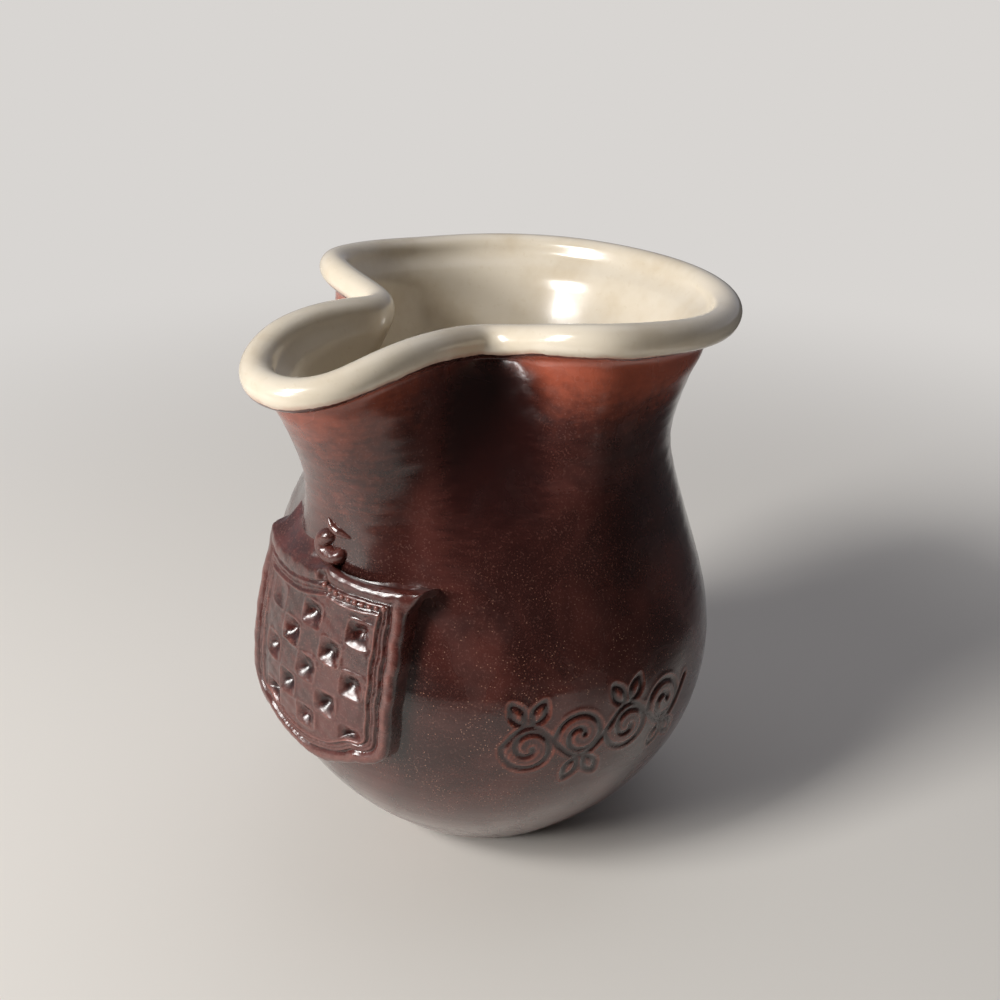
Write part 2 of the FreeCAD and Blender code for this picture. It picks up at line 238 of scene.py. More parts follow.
belly_rings = [wall_ring(BELLY_HEIGHT * share) for share in BELLY_SHARES]
flare = SHOULDER - BEAD_RADIUS - NECK_HEIGHT
neck_levels = [BELLY_HEIGHT + (NECK_HEIGHT - BELLY_HEIGHT) * share for share in NECK_SHARES]
neck_levels += [NECK_HEIGHT + flare * share for share in FLARE_SHARES]
neck_rings = [wall_ring(z) for z in neck_levels]
rim = polar(LOOP[:, 0], LOOP[:, 1], RIM_LEVEL - LOOP[:, 2])
bead_rings = [pushed(rim, BEAD_RADIUS * math.cos(turn), BEAD_RADIUS * math.sin(turn))
              for turn in map(math.radians, BEAD_DEGREES)]
inner_levels = [FLOOR + (SHOULDER - FLOOR) * share for share in INSIDE_SHARES]
inner_rings = [pushed(wall_ring(z), -wall_thickness(z)) for z in inner_levels]
floor_radius = body_radius(FLOOR) - wall_thickness(FLOOR)
inner_rings += [polar(LOOP[:, 0], floor_radius * share, FLOOR + (SHOULDER - FLOOR) * lift)
                for share, lift in FLOOR_EDGE]
RINGS = np.array(belly_rings + neck_rings + bead_rings + inner_rings)
ring_gaps = np.linalg.norm(np.diff(RINGS, axis=0), axis=2).mean(axis=1)
ALONG = np.concatenate([[0.0], np.cumsum(ring_gaps)])
FIRST_NECK = len(belly_rings)
FIRST_BEAD = FIRST_NECK + len(neck_rings)
FIRST_INNER = FIRST_BEAD + len(bead_rings)
print("rings", len(RINGS), "from the foot over the rim to the floor inside", round(ALONG[-1]), "mm")

# %% [markdown]
# The net is closer where there is more to see. A cut ornament runs round one side of the belly, so
# there the rows and the columns lie under half a millimetre apart. The inside is plain, and its rows
# are two millimetres apart.

# %% The net of points
ORNAMENT_FROM = math.radians(44.0)
ORNAMENT_TO = math.radians(103.0)
COLUMNS = 372
ORNAMENT_DENSITY = 2.5
ORNAMENT_FADE = math.radians(4.0)
DENSE_FROM_RING = 5
DENSE_TO_RING = 8
ROW_STEPS = [
    (0, DENSE_FROM_RING, 1.15),
    (DENSE_FROM_RING, DENSE_TO_RING, 0.43),
    (DENSE_TO_RING, FIRST_BEAD - 1, 0.9),
    (FIRST_BEAD - 1, FIRST_INNER, 0.62),
    (FIRST_INNER, len(RINGS) - 1, 2.3),
]


def even_by_density(start, end, density, count):
    """Places from start to end, closer where the density is higher."""
    fine = np.linspace(start, end, 4000)
    total = np.concatenate([[0.0], np.cumsum(0.5 * (density(fine[1:]) + density(fine[:-1])))])
    return np.interp(np.linspace(0.0, total[-1], count + 1), total, fine)


def ring_angle(turn):
    """Angle from the spout at a parameter of the rings, low on the pot."""
    ring = spline_weights(TURN, turn, True) @ RINGS[FIRST_NECK]
    return np.arctan2(ring[:, 0], -ring[:, 1]) % math.tau


def column_density(turn):
    """More columns where the ornament is."""
    angle = ring_angle(turn)
    inside = smoothstep(ORNAMENT_FROM - ORNAMENT_FADE, ORNAMENT_FROM, angle)
    inside *= 1.0 - smoothstep(ORNAMENT_TO, ORNAMENT_TO + ORNAMENT_FADE, angle)
    return 1.0 + (ORNAMENT_DENSITY - 1.0) * inside


column_turns = even_by_density(0.0, TURN[-1], column_density, COLUMNS)[:-1]
row_places = []
for first, last, step in ROW_STEPS:
    count = max(int((ALONG[last] - ALONG[first]) / step), 1)
    row_places += list(np.linspace(ALONG[first], ALONG[last], count, endpoint=False))
row_places.append(ALONG[-1])
row_places = np.array(row_places)
around = spline_weights(TURN, column_turns, True)
upward = spline_weights(ALONG, row_places, False)
net = np.einsum("rk,kpx,cp->rcx", upward, RINGS, around)
row_level = net[:, :, 2]
row_angle = np.arctan2(net[:, :, 0], -net[:, :, 1])
print("net", net.shape[:2], "about", 2 * net.shape[0] * net.shape[1], "triangles")

# %% [markdown]
# Hands and a turning wheel leave marks: low rings up the wall, and a slow unevenness. They are sums
# of a few waves with fixed random phases, so each run gives the same pot. They fade out on the bead,
# which was smoothed with a wet leather.

# %% Marks of the throwing
SEED = 7
RING_LENGTHS = (2.7, 3.4, 4.9, 7.3)
RING_MARK = 0.055
RING_LEAN = 0.12
RING_LEVELS = (62.0, 84.0)
SLOW_LENGTHS = (31.0, 47.0)
UNEVEN = 0.16
draw = np.random.default_rng(SEED)


def waves(level, angle, lengths, lean):
    """A sum of waves up the wall, which lean and wander a little round it."""
    total = np.zeros_like(level)
    for length in lengths:
        start, drift = draw.uniform(0.0, math.tau), draw.uniform(0.0, 6.3)
        count = draw.integers(1, 4)
        wander = lean * length * np.sin(count * angle + drift)
        total += np.sin(math.tau * (level + wander) / length + start)
    return total / len(lengths)


outside = (row_places < ALONG[FIRST_BEAD - 1] - 1.0)[:, None]
inside = (row_places > ALONG[FIRST_INNER] + 2.0)[:, None]
throwing = waves(row_level, row_angle, RING_LENGTHS, RING_LEAN)
strength = 0.35 + 0.65 * smoothstep(*RING_LEVELS, row_level)
relief = RING_MARK * throwing * strength * (outside | inside)
slow = waves(row_level, row_angle, SLOW_LENGTHS, 0.5) * np.cos(row_angle * 2.0 + 0.7)
relief = relief + UNEVEN * slow * outside
print("marks from", round(float(relief.min()), 2), "to", round(float(relief.max()), 2), "mm")

# %% [markdown]
# One side of the belly carries a line cut into the soft clay with a blunt point. Here it is a running
# scroll: a waved stem, a spiral in each bend, and small leaves. A blunt point pushes clay aside, so
# the cut has a low burr on both sides. It is cut into the mesh itself, because a bump would vanish
# from the side.

# %% The cut scroll
SCROLL_MIDDLE = 44.5
SCROLL_WAVE = 22.0
SCROLL_SWING = 4.4
SCROLL_START = 46.5
SCROLL_END = 99.5
CUT_WIDTH = 0.48
CUT_DEPTH = 0.42
BURR_HEIGHT = 0.12
SPIRAL_TURNS = 1.45
SPIRAL_EYE = 0.75
LEAF_ROOT = (0.9, 0.4)
LEAF_TIP = (3.4, 5.6)
LEAF_FULLNESS = 0.24


def scroll_lines():
    """The scroll's strokes as (arc along the belly, height) lines, in millimetres."""
    begin, end = (math.radians(a) * BELLY_RADIUS for a in (SCROLL_START, SCROLL_END))
    stem = np.linspace(begin, end, 260)
    swing = SCROLL_SWING * np.sin(math.tau * (stem - begin) / SCROLL_WAVE)
    strokes = [np.stack([stem, SCROLL_MIDDLE + swing], 1)]
    bends = int((end - begin) / (0.5 * SCROLL_WAVE))
    for bend in range(bends):
        sign = 1.0 if bend % 2 == 0 else -1.0
        centre = np.array([begin + (0.5 * bend + 0.25) * SCROLL_WAVE, SCROLL_MIDDLE - 0.5 * sign])
        share = np.linspace(0.0, 1.0, 110)
        radius = 0.25 * SCROLL_WAVE * (1.0 - share) ** 0.8 + SPIRAL_EYE * share
        angle = math.pi + sign * math.tau * SPIRAL_TURNS * share
        strokes.append(centre + np.stack([radius * np.cos(angle), radius * np.sin(angle)], 1))
        for lean in (-1.0, 1.0):
            tip = centre + np.array([lean * LEAF_TIP[0], sign * (SCROLL_SWING + LEAF_TIP[1])])
            root_level = SCROLL_MIDDLE + sign * (SCROLL_SWING + LEAF_ROOT[1])
            root = np.array([centre[0] + lean * LEAF_ROOT[0], root_level])
            belly = np.array([-(tip - root)[1], (tip - root)[0]]) * LEAF_FULLNESS
            for swell in (-1.0, 1.0):
                bow = swell * np.outer(np.sin(math.pi * share), belly)
                strokes.append(root + np.outer(share, tip - root) + bow)
    return strokes


scroll = np.concatenate(scroll_lines())
net_arc = row_angle * BELLY_RADIUS
reach = 4.0 * CUT_WIDTH
near = (net_arc > scroll[:, 0].min() - reach) & (net_arc < scroll[:, 0].max() + reach)
near &= (row_level > scroll[:, 1].min() - reach) & (row_level < scroll[:, 1].max() + reach)
near &= (row_places < ALONG[FIRST_BEAD])[:, None]
spots = np.stack([net_arc[near], row_level[near]], axis=1)
away = np.full(len(spots), 1e3)
for first in range(0, len(scroll), 64):
    part = scroll[first:first + 64]
    apart = np.sqrt(((spots[:, None, :] - part[None]) ** 2).sum(axis=2))
    away = np.minimum(away, apart.min(axis=1))
cut = np.exp(-(away / CUT_WIDTH) ** 2)
burr = np.exp(-((away - 2.0 * CUT_WIDTH) / CUT_WIDTH) ** 2)
relief[near] += BURR_HEIGHT * burr - CUT_DEPTH * cut
cut_mask = np.zeros_like(relief)
cut_mask[near] = cut
burr_mask = np.zeros_like(relief)
burr_mask[near] = burr
print("scroll from", scroll.min(axis=0).round(), "to", scroll.max(axis=0).round(), "mm")

# %% [markdown]
# The net becomes one closed mesh. The relief moves each point along the surface's own normal. Two
# fans close it: one under the foot, where the bare clay has a softened edge, and one on the floor
# inside. Masks that the glazes need are kept on the points.

# %% The pot's mesh
FOOT_SHARES = (0.25, 0.5, 0.75, 0.92)
FOOT_EDGE = ((0.975, 0.0), (0.993, 0.12))
FOOT_LIFT = 0.55
FLOOR_SHARES = (0.66, 0.33)


def net_normals(points):
    """Outward normals of a net that is closed round its columns."""
    over = np.roll(points, -1, axis=1) - np.roll(points, 1, axis=1)
    up = np.gradient(points, axis=0)
    normal = np.cross(over, up)
    return normal / np.maximum(np.linalg.norm(normal, axis=2), 1e-9)[:, :, None]


def keep_mask(mesh, name, values):
    """A mask on a mesh's points, which the glazes read."""
    mask = mesh.attributes.new(name, "FLOAT", "POINT")
    mask.data.foreach_set("value", np.asarray(values, np.float32))


def smooth_mesh(name, points, faces, masks):
    """A smooth mesh of points in millimetres, with its masks."""
    mesh = bpy.data.meshes.new(name)
    mesh.from_pydata((points * MM).tolist(), [], faces)
    for mask, values in masks.items():
        keep_mask(mesh, mask, values)
    mesh.shade_smooth()
    mesh.update()
    return mesh


def closed_mesh(name, rows, bottom, top, masks):
    """A mesh from rows of points, closed round the columns and by a point at each end."""
    count, wide = rows.shape[:2]
    points = np.concatenate([rows.reshape(-1, 3), [bottom], [top]])
    pairs = [(column, (column + 1) % wide) for column in range(wide)]
    last = (count - 1) * wide
    faces = [(base + here, base + beside, base + wide + beside, base + wide + here)
             for base in range(0, last, wide) for here, beside in pairs]
    for here, beside in pairs:
        faces.append((beside, here, count * wide))
        faces.append((last + here, last + beside, count * wide + 1))
    full = {mask: np.append(values.ravel(), [values[0].mean(), values[-1].mean()])
            for mask, values in masks.items()}
    return smooth_mesh(name, points, faces, full)


shaped = net + net_normals(net) * relief[:, :, None]
foot_ring = shaped[0]
foot_rows = [foot_ring * (share, share, 0.0) for share in FOOT_SHARES]
foot_rows += [foot_ring * (share, share, 0.0) + (0.0, 0.0, lift) for share, lift in FOOT_EDGE]
raised = shaped[0] + (shaped[1] - shaped[0]) * FOOT_LIFT
floor_ring = shaped[-1]
floor_rows = [floor_ring * (share, share, 1.0) for share in FLOOR_SHARES]
skin = np.concatenate([foot_rows, [raised], shaped[1:], floor_rows])
added_below = len(foot_rows)
added_above = len(floor_rows)


def on_skin(values):
    """Values of the net carried to the added rows under the foot and on the floor."""
    low = np.repeat(values[:1], added_below, axis=0)
    high = np.repeat(values[-1:], added_above, axis=0)
    return np.concatenate([low, values, high])


print("rows of the skin", len(skin))

# %% [markdown]
# The glazes need to know where they are. "edge" is the distance along the wall from the line where
# the cream glaze ends, just under the rolled rim: a shader can turn it into a crisp, uneven line at
# any size. "thin" says where the brown glaze ran thin and burns orange. "pool" says where
# the brown goes nearly black: in the two valleys behind the spout it is partly glaze that ran
# together and partly painted shade, and it also darkens the cut lines.

# %% Masks for the glazes
GLAZE_LINE_DEGREES = -34.0
GLAZE_RUN = 2.8

# Where each change starts and ends: angles from the spout in radians, the rest in millimetres
RUN_ANGLES = (1.05, 1.55)
PINCH_DEPTHS = (3.0, 17.0)
VALLEY_START = (60.0, 101.0)
VALLEY_END = (111.0, 118.0)
RIM_REACH = 26.0
RIGHT_GLOW_START = (0.85, 1.15)
RIGHT_GLOW_END = (2.2, 2.9)
FRONT_GLOW_END = (0.25, 0.5)
FRONT_GLOW_LEVELS = (70.0, 96.0)

line_share = (GLAZE_LINE_DEGREES - BEAD_DEGREES[0]) / (BEAD_DEGREES[1] - BEAD_DEGREES[0])
glaze_line = ALONG[FIRST_BEAD] + line_share * (ALONG[FIRST_BEAD + 1] - ALONG[FIRST_BEAD])
side_turn = np.abs(row_angle)
edge = (row_places - glaze_line)[:, None] + GLAZE_RUN * smoothstep(*RUN_ANGLES, side_turn)

mouth_here = np.interp(column_turns, TURN, np.append(LOOP[:, 1], LOOP[0, 1]))
pinch = smoothstep(*PINCH_DEPTHS, NECK_RADIUS - mouth_here)
# The two creases behind the spout: painted shade there, on top of glaze that ran together
valley = pinch[None, :] * smoothstep(*VALLEY_START, row_level)
valley *= 1.0 - smoothstep(*VALLEY_END, row_level)
near_rim = 1.0 - smoothstep(0.0, RIM_REACH, -edge)
right_glow = smoothstep(*RIGHT_GLOW_START, side_turn) * (1.0 - smoothstep(*RIGHT_GLOW_END, side_turn))
front_glow = 1.0 - smoothstep(*FRONT_GLOW_END, side_turn)
thin = near_rim ** 1.6 * (0.25 + 0.75 * np.maximum(right_glow, 0.5 * front_glow))
thin = thin + 0.25 * front_glow * smoothstep(*FRONT_GLOW_LEVELS, row_level)
thin = np.clip(thin + 0.5 * burr_mask, 0.0, 1.0) * (1.0 - cut_mask)
# Nearly black in the valleys, partly pooled glaze and partly painted shade, and darker in the cut lines
pool = np.clip(valley + 0.9 * cut_mask, 0.0, 1.0)
pot_masks = {"edge": on_skin(edge * MM), "thin": on_skin(thin), "pool": on_skin(pool)}
foot_mask = np.zeros(len(skin))
foot_mask[:added_below] = 1.0
pot_masks["bare"] = np.repeat(foot_mask[:, None], COLUMNS, axis=1)
pot = placed(closed_mesh("thrown_pot", skin, (0.0, 0.0, 0.0), (0.0, 0.0, FLOOR), pot_masks))
print("pot", len(pot.data.polygons), "faces")

# %% [markdown]
# The shield was pressed in a mould as a flat slab and stuck on, so it is drawn flat and then bent
# round the belly. Its relief is a height over the distance in from the outline: a roll, two cords, a
# fine ridge, and a sunk field where every second square is a pit. The slab stands straighter than
# the shoulder behind it and leans a little to one side, so its upper lip juts out most on the right.

# %% Sizes of the shield
SHIELD_HALF_WIDTH = 21.9
SHIELD_SHIFT = -0.7
SHIELD_TOP = 78.2
SHIELD_BOTTOM = 34.2
LEFT_DROP = 1.6
CORNER_FLARE = 3.6
FLARE_HEIGHT = 9.0
SHIELD_CORNER = 8.0
SHIELD_SAG = 4.0
SCALLOP_DEPTH = 1.5
CUSP_SIDE = 2.8
CUSP_DIP = 0.4
SHIELD_PROUD = 3.6
SHIELD_LIP = 1.9
SHIELD_LEAN = math.radians(3.9)

# Fine ridges inside the roll: distance in, half width, height over the grooves
ROLL_WIDTH = 2.9
ROLL_HEIGHT = 1.05
RIDGES = ((3.7, 0.4, 0.55), (4.5, 0.4, 0.5), (5.6, 0.42, 0.72))
FIELD_FROM = 6.0
GROOVE_LEVEL = -0.8
FIELD_LEVEL = -0.45
CHECK_COUNT = 5
CHECK_WIDTH = 6.0
CHECK_HEIGHT = 5.6
CHECK_MIDDLE = 55.5
PIT_DEPTH = 1.45
PIT_RIM = 0.14
FLAT_PIT_SHARE = 0.4
SQUARE_TILT = 0.3
ARC_POINTS = 36
CORNER_POINTS = 20
SIDE_POINTS = 14


def shield_radius(z):
    """Distance of the slab's face from its own axis."""
    rise = np.clip((z - BELLY_HEIGHT) / (SHIELD_TOP - BELLY_HEIGHT), 0.0, None)
    return body_radius(z) + SHIELD_PROUD + SHIELD_LIP * rise ** 2


def upright_place(x, z):
    """Where a place of the drawing lay before the slab was leaned."""
    rise = z - BELLY_HEIGHT
    return (x * math.cos(SHIELD_LEAN) - rise * math.sin(SHIELD_LEAN),
            BELLY_HEIGHT + x * math.sin(SHIELD_LEAN) + rise * math.cos(SHIELD_LEAN))


def face_place(x, z):
    """Angle and radius of the leaned slab's face at a place of the drawing."""
    across, level = upright_place(x, z)
    forward = np.sqrt(shield_radius(level) ** 2 - across ** 2)
    return np.arctan2(x, forward), np.hypot(x, forward)


def arc_through(start, middle, end, count):
    """Points along the round arc through three points, without its end."""
    (ax, ay), (bx, by), (cx, cy) = start, middle, end
    d = 2.0 * (ax * (by - cy) + bx * (cy - ay) + cx * (ay - by))
    a2, b2, c2 = ax * ax + ay * ay, bx * bx + by * by, cx * cx + cy * cy
    centre = np.array([a2 * (by - cy) + b2 * (cy - ay) + c2 * (ay - by),
                       a2 * (cx - bx) + b2 * (ax - cx) + c2 * (bx - ax)]) / d
    first = math.atan2(ay - centre[1], ax - centre[0])
    to_middle, to_end = ((math.atan2(y - centre[1], x - centre[0]) - first) % math.tau
                         for x, y in (middle, end))
    sweep = to_end - math.tau if to_middle > to_end else to_end
    angle = first + sweep * np.arange(count) / count
    radius = math.hypot(ax - centre[0], ay - centre[1])
    return centre + radius * np.stack([np.cos(angle), np.sin(angle)], axis=1)


left = SHIELD_SHIFT - SHIELD_HALF_WIDTH
right = SHIELD_SHIFT + SHIELD_HALF_WIDTH
low = SHIELD_BOTTOM + SHIELD_SAG
turn_level = low + SHIELD_CORNER
bulge = SHIELD_CORNER * (1.0 - math.sqrt(0.5))
cusp = (CUSP_SIDE, SHIELD_TOP - CUSP_DIP)
dip = SHIELD_TOP - SCALLOP_DEPTH


def scallops(flare):
    """The two hollow curves of the upper edge, from the right corner to the left one."""
    middle_right = (0.5 * (right + CUSP_SIDE), dip)
    middle_left = (0.5 * (left + CUSP_SIDE), dip - LEFT_DROP)
    return (arc_through((right + flare, SHIELD_TOP), middle_right, cusp, ARC_POINTS),
            arc_through(cusp, middle_left, (left, SHIELD_TOP - LEFT_DROP), ARC_POINTS))


def side_line(edge, top, flare):
    """One upright side, from its upper corner down to where the lower corner starts."""
    share = np.linspace(0.0, 1.0, SIDE_POINTS)[:, None]
    bend = top - FLARE_HEIGHT
    curve = np.concatenate([edge + flare * (1.0 - share) ** 2, top - FLARE_HEIGHT * share], axis=1)
    straight = np.concatenate([edge + 0.0 * share, bend + (turn_level - bend) * share], axis=1)
    return np.concatenate([curve, straight[1:]])


def drawn_outline(flare):
    """The shield's whole outline."""
    foot_left, foot_right = (left + SHIELD_CORNER, low), (right - SHIELD_CORNER, low)
    round_left, round_right = (left + bulge, low + bulge), (right - bulge, low + bulge)
    corner_left = arc_through((left, turn_level), round_left, foot_left, CORNER_POINTS)
    bottom = arc_through(foot_left, (SHIELD_SHIFT, SHIELD_BOTTOM), foot_right, ARC_POINTS)
    corner_right = arc_through(foot_right, round_right, (right, turn_level), CORNER_POINTS)
    left_side = side_line(left, SHIELD_TOP - LEFT_DROP, 0.0)[:-1]
    right_side = side_line(right, SHIELD_TOP, flare)[:0:-1]
    return np.concatenate([*scallops(flare), left_side, corner_left, bottom, corner_right, right_side])


outline = drawn_outline(CORNER_FLARE)
plain_outline = drawn_outline(0.0)
print("outline", len(outline), "points")

# %% [markdown]
# A fine grid is laid over the drawing. For each of its points the distance to the outline is
# measured, positive inside. That one number gives the flank, the ridges and the grooves, and the
# pits are added in the squares.

# %% Heights of the shield
GRID_STEP = 0.25
GRID_MARGIN = 2.6
FINE_STEP = 0.1
FINE_BELOW = 4.8
FINE_ABOVE = 1.7
GRID_ABOVE = 8.0
DIMPLE_PLACE = (1.6, 75.2)
DIMPLE_SIZE = 1.3
DIMPLE_DEPTH = 1.1

# Between which depths, sides and heights the wobble and the flattened part fade, in millimetres
CALM_DEPTHS = (8.0, 12.0)
PRESSED_SIDE = (-4.0, 2.0)
PRESSED_LEVELS = (66.0, 73.0)
PRESSED_SHARE = 0.6

# The pits: how far each is off its place, and its shape in shares of half a square
JITTER = 0.3
SQUARENESS = 5
PIT_ROUNDS = (0.35, 0.95)
PIT_EDGE = 0.93
PIT_SLOPE = 0.8
PIT_RIM_WIDTH = 0.08
TILT_FADE = (0.75, 1.1)


def inside_distance(points, line):
    """Distance from each point to a closed line, positive inside it."""
    best = np.full(len(points), 1e9)
    odd = np.zeros(len(points), bool)
    for start, end in zip(line, np.roll(line, -1, axis=0)):
        run = end - start
        along = np.clip(((points - start) @ run) / (run @ run), 0.0, 1.0)
        best = np.minimum(best, ((points - start - along[:, None] * run) ** 2).sum(axis=1))
        crosses = (start[1] > points[:, 1]) != (end[1] > points[:, 1])
        if start[1] != end[1]:
            odd ^= crosses & (points[:, 0] < start[0] + (points[:, 1] - start[1]) * run[0] / run[1])
    return np.where(odd, 1.0, -1.0) * np.sqrt(best)


grid_x = np.arange(left - CORNER_FLARE - GRID_MARGIN, right + CORNER_FLARE + GRID_MARGIN, GRID_STEP)
fine_from = SHIELD_TOP - FINE_BELOW
fine_to = SHIELD_TOP + FINE_ABOVE
grid_z = np.concatenate([np.arange(SHIELD_BOTTOM - GRID_MARGIN, fine_from - 0.5 * FINE_STEP, GRID_STEP),
                         np.arange(fine_from, fine_to, FINE_STEP),
                         np.arange(fine_to, SHIELD_TOP + GRID_ABOVE, 1.6 * GRID_STEP)])
flat_x, flat_z = np.meshgrid(grid_x, grid_z)
wobble = 0.22 * np.sin(0.31 * flat_x + 1.0) * np.sin(0.23 * flat_z)
wobble += 0.12 * np.sin(0.9 * flat_z + 0.4 * flat_x)
drawing = np.stack([flat_x.ravel(), flat_z.ravel()], 1)
depth_in = inside_distance(drawing, outline).reshape(flat_x.shape)
depth_plain = inside_distance(drawing, plain_outline).reshape(flat_x.shape)
calmer = 1.0 - smoothstep(*CALM_DEPTHS, depth_plain)
depth_in += wobble * calmer
depth_plain += wobble * calmer

face_height = np.where(depth_plain > FIELD_FROM, FIELD_LEVEL, GROOVE_LEVEL)
roll_left = np.clip(ROLL_WIDTH - depth_plain, 0.0, None)
roll_share = depth_in / np.maximum(depth_in + roll_left, 1e-6)
roll = np.sqrt(np.clip(1.0 - (2.0 * np.clip(roll_share, 0.0, 1.0) - 1.0) ** 2, 0.0, 1.0))
roll *= roll_left > 0.0
face_height = np.maximum(face_height, GROOVE_LEVEL + ROLL_HEIGHT * roll)
for middle, half_width, height in RIDGES:
    across = np.clip(1.0 - ((depth_plain - middle) / half_width) ** 2, 0.0, 1.0)
    face_height = np.maximum(face_height, GROOVE_LEVEL + height * np.sqrt(across))

# The upper left was pressed flat again when the slab was stuck on, and the cusp ends in a dimple
pressed = (1.0 - smoothstep(*PRESSED_SIDE, flat_x)) * smoothstep(*PRESSED_LEVELS, flat_z)
face_height += (FIELD_LEVEL - face_height) * PRESSED_SHARE * pressed
dimple = ((flat_x - DIMPLE_PLACE[0]) ** 2 + (flat_z - DIMPLE_PLACE[1]) ** 2) / DIMPLE_SIZE ** 2
face_height -= DIMPLE_DEPTH * np.exp(-dimple)

angle_x, face_radius = face_place(flat_x, flat_z)
across_x, upright_z = upright_place(flat_x, flat_z)
arc_x = np.arcsin(across_x / shield_radius(upright_z)) * shield_radius(upright_z)
field = smoothstep(FIELD_FROM - 0.1, FIELD_FROM + 0.5, depth_plain)
pits = np.zeros_like(face_height)
middle_index = (CHECK_COUNT - 1) / 2.0
for column, row in np.ndindex(CHECK_COUNT, CHECK_COUNT):
    jitter = draw.uniform(-JITTER, JITTER, 4)
    middle = upright_place((column - middle_index) * CHECK_WIDTH,
                           CHECK_MIDDLE + (row - middle_index) * CHECK_HEIGHT)
    off_x = arc_x - middle[0] - jitter[0]
    off_z = upright_z - middle[1] - jitter[1]
    across = np.abs(off_x) / (0.5 * CHECK_WIDTH)
    upright = np.abs(off_z) / (0.5 * CHECK_HEIGHT)
    square = (across ** SQUARENESS + upright ** SQUARENESS) ** (1.0 / SQUARENESS)
    if (column + row) % 2:
        tilt = SQUARE_TILT * (jitter[2] * off_x + jitter[3] * off_z)
        face_height += tilt * (1.0 - smoothstep(*TILT_FADE, square)) * field
        continue
    rounded = 0.8 * (1.0 - smoothstep(*PIT_ROUNDS, square))
    reach = square + (np.hypot(across, upright) - square) * rounded
    slope = np.clip((PIT_EDGE - reach) / PIT_SLOPE, 0.0, 1.0)
    bowl = 0.3 * slope + 0.7 * slope * slope * (3.0 - 2.0 * slope)
    rim_line = np.exp(-((square - 1.0) / PIT_RIM_WIDTH) ** 2)
    shallow = FLAT_PIT_SHARE if (column, row) == (0, CHECK_COUNT - 1) else 1.0
    pits -= shallow * (PIT_DEPTH + jitter[2]) * bowl
    face_height += PIT_RIM * rim_line * field
face_height += pits * field
face_height += 0.05 * np.sin(1.7 * arc_x + 0.6 * flat_z) * np.sin(1.3 * flat_z - 0.5 * arc_x)
lowest, highest = float(face_height.min()), float(face_height.max())
print("relief of the face from", round(lowest, 2), "to", round(highest, 2), "mm")

# %% [markdown]
# The grid is bent round the belly. Outside the outline it dives into the wall, so the slab grows out
# of the pot as stuck-on clay does. A few rings behind it close the slab inside the wall.

# %% The shield's mesh
MOUTH_STEPS = 1600
FLANK_OUT = 1.2
FLANK_IN = 0.45
SUNK_FOOT = 0.45
BACK_DEPTH = 2.2
POCKET_DEPTH = 2.6
CORNER_SINK = 4.4
SMEAR_HEIGHT = 7.5
SMEAR_SHARE = 0.8
SMEAR_SIDE = (-6.0, 1.5)
SMEAR_POWER = 2.2
TROUGH = (0.12, 0.6)
LEDGE_START = (0.5, 3.5)
BACK_RINGS = (1.0, 0.85, 0.7, 0.55, 0.4, 0.25, 0.1)
BLUR_REACH = 6

fine_turn = np.linspace(0.0, TURN[-1], MOUTH_STEPS, endpoint=False)
fine_mouth = spline_weights(TURN, fine_turn, True) @ polar(LOOP[:, 0], LOOP[:, 1], 0.0)
fine_angle = np.arctan2(fine_mouth[:, 0], -fine_mouth[:, 1])
order = np.argsort(fine_angle)
fine_radius = np.hypot(fine_mouth[:, 0], fine_mouth[:, 1])[order]
fine_angle = fine_angle[order]


def wall_at(angle, z):
    """Outside radius of the pot's wall at an angle from the spout."""
    return wall_radius(angle, np.interp(angle, fine_angle, fine_radius), z)


wall_here = wall_at(angle_x, flat_z)
rise = smoothstep(-FLANK_OUT, FLANK_IN, depth_in)
foot_level = wall_here - SUNK_FOOT - 0.3 * np.clip(-FLANK_OUT - depth_in, 0.0, None)

# On the left the clay above the slab was smeared up the wall
outside_by = np.clip(-depth_in / SMEAR_HEIGHT, 0.0, 1.0)
on_left = (1.0 - smoothstep(*SMEAR_SIDE, flat_x)) * smoothstep(left - 1.8, left + 2.2, flat_x)
on_left *= smoothstep(SHIELD_TOP - 8.0, SHIELD_TOP - 4.0, flat_z)
smear = SMEAR_SHARE * (face_radius - wall_here) * (1.0 - outside_by) ** SMEAR_POWER
smear -= 1.5 * SUNK_FOOT * outside_by
foot_level += np.clip(wall_here + smear - foot_level, 0.0, None) * on_left
slab_radius = foot_level + (face_radius + face_height - foot_level) * rise

# On the right the ledge behind the roll sinks into a pocket
back = 1.0 - rise
trough = smoothstep(*TROUGH, back) * (1.0 - 0.45 * smoothstep(0.6, 1.0, back))
trough *= smoothstep(-FLANK_OUT - 1.5, -FLANK_OUT, depth_in)
on_right = smoothstep(*LEDGE_START, flat_x) * (1.0 - smoothstep(right - 4.0, right + 1.5, flat_x))
on_right *= flat_z > fine_from
at_corner = smoothstep(right - 5.0, right + CORNER_FLARE, flat_x)
at_corner *= smoothstep(SHIELD_TOP - 5.0, SHIELD_TOP - 0.5, flat_z)
fall = back ** 1.3 * smoothstep(-FLANK_OUT - 2.5, -FLANK_OUT, depth_in)
pocket = POCKET_DEPTH * trough * on_right + CORNER_SINK * fall * at_corner
slab = polar(angle_x, slab_radius, flat_z - pocket)

# The grid's border, as places in the grid that run once round it
tall, wide = flat_x.shape
steps = [(0, c) for c in range(wide - 1)] + [(r, wide - 1) for r in range(tall - 1)]
steps += [(tall - 1, c) for c in range(wide - 1, 0, -1)] + [(r, 0) for r in range(tall - 1, 0, -1)]
BORDER = np.array(steps)
MIDDLE_Z = 0.5 * (grid_z[0] + grid_z[-1])


def slab_border(shrink):
    """The grid's border, drawn in towards its middle and sunk into the wall."""
    angle = angle_x[BORDER[:, 0], BORDER[:, 1]] * shrink
    z = MIDDLE_Z + (flat_z[BORDER[:, 0], BORDER[:, 1]] - MIDDLE_Z) * shrink
    return polar(angle, wall_at(angle, z) - BACK_DEPTH, z)


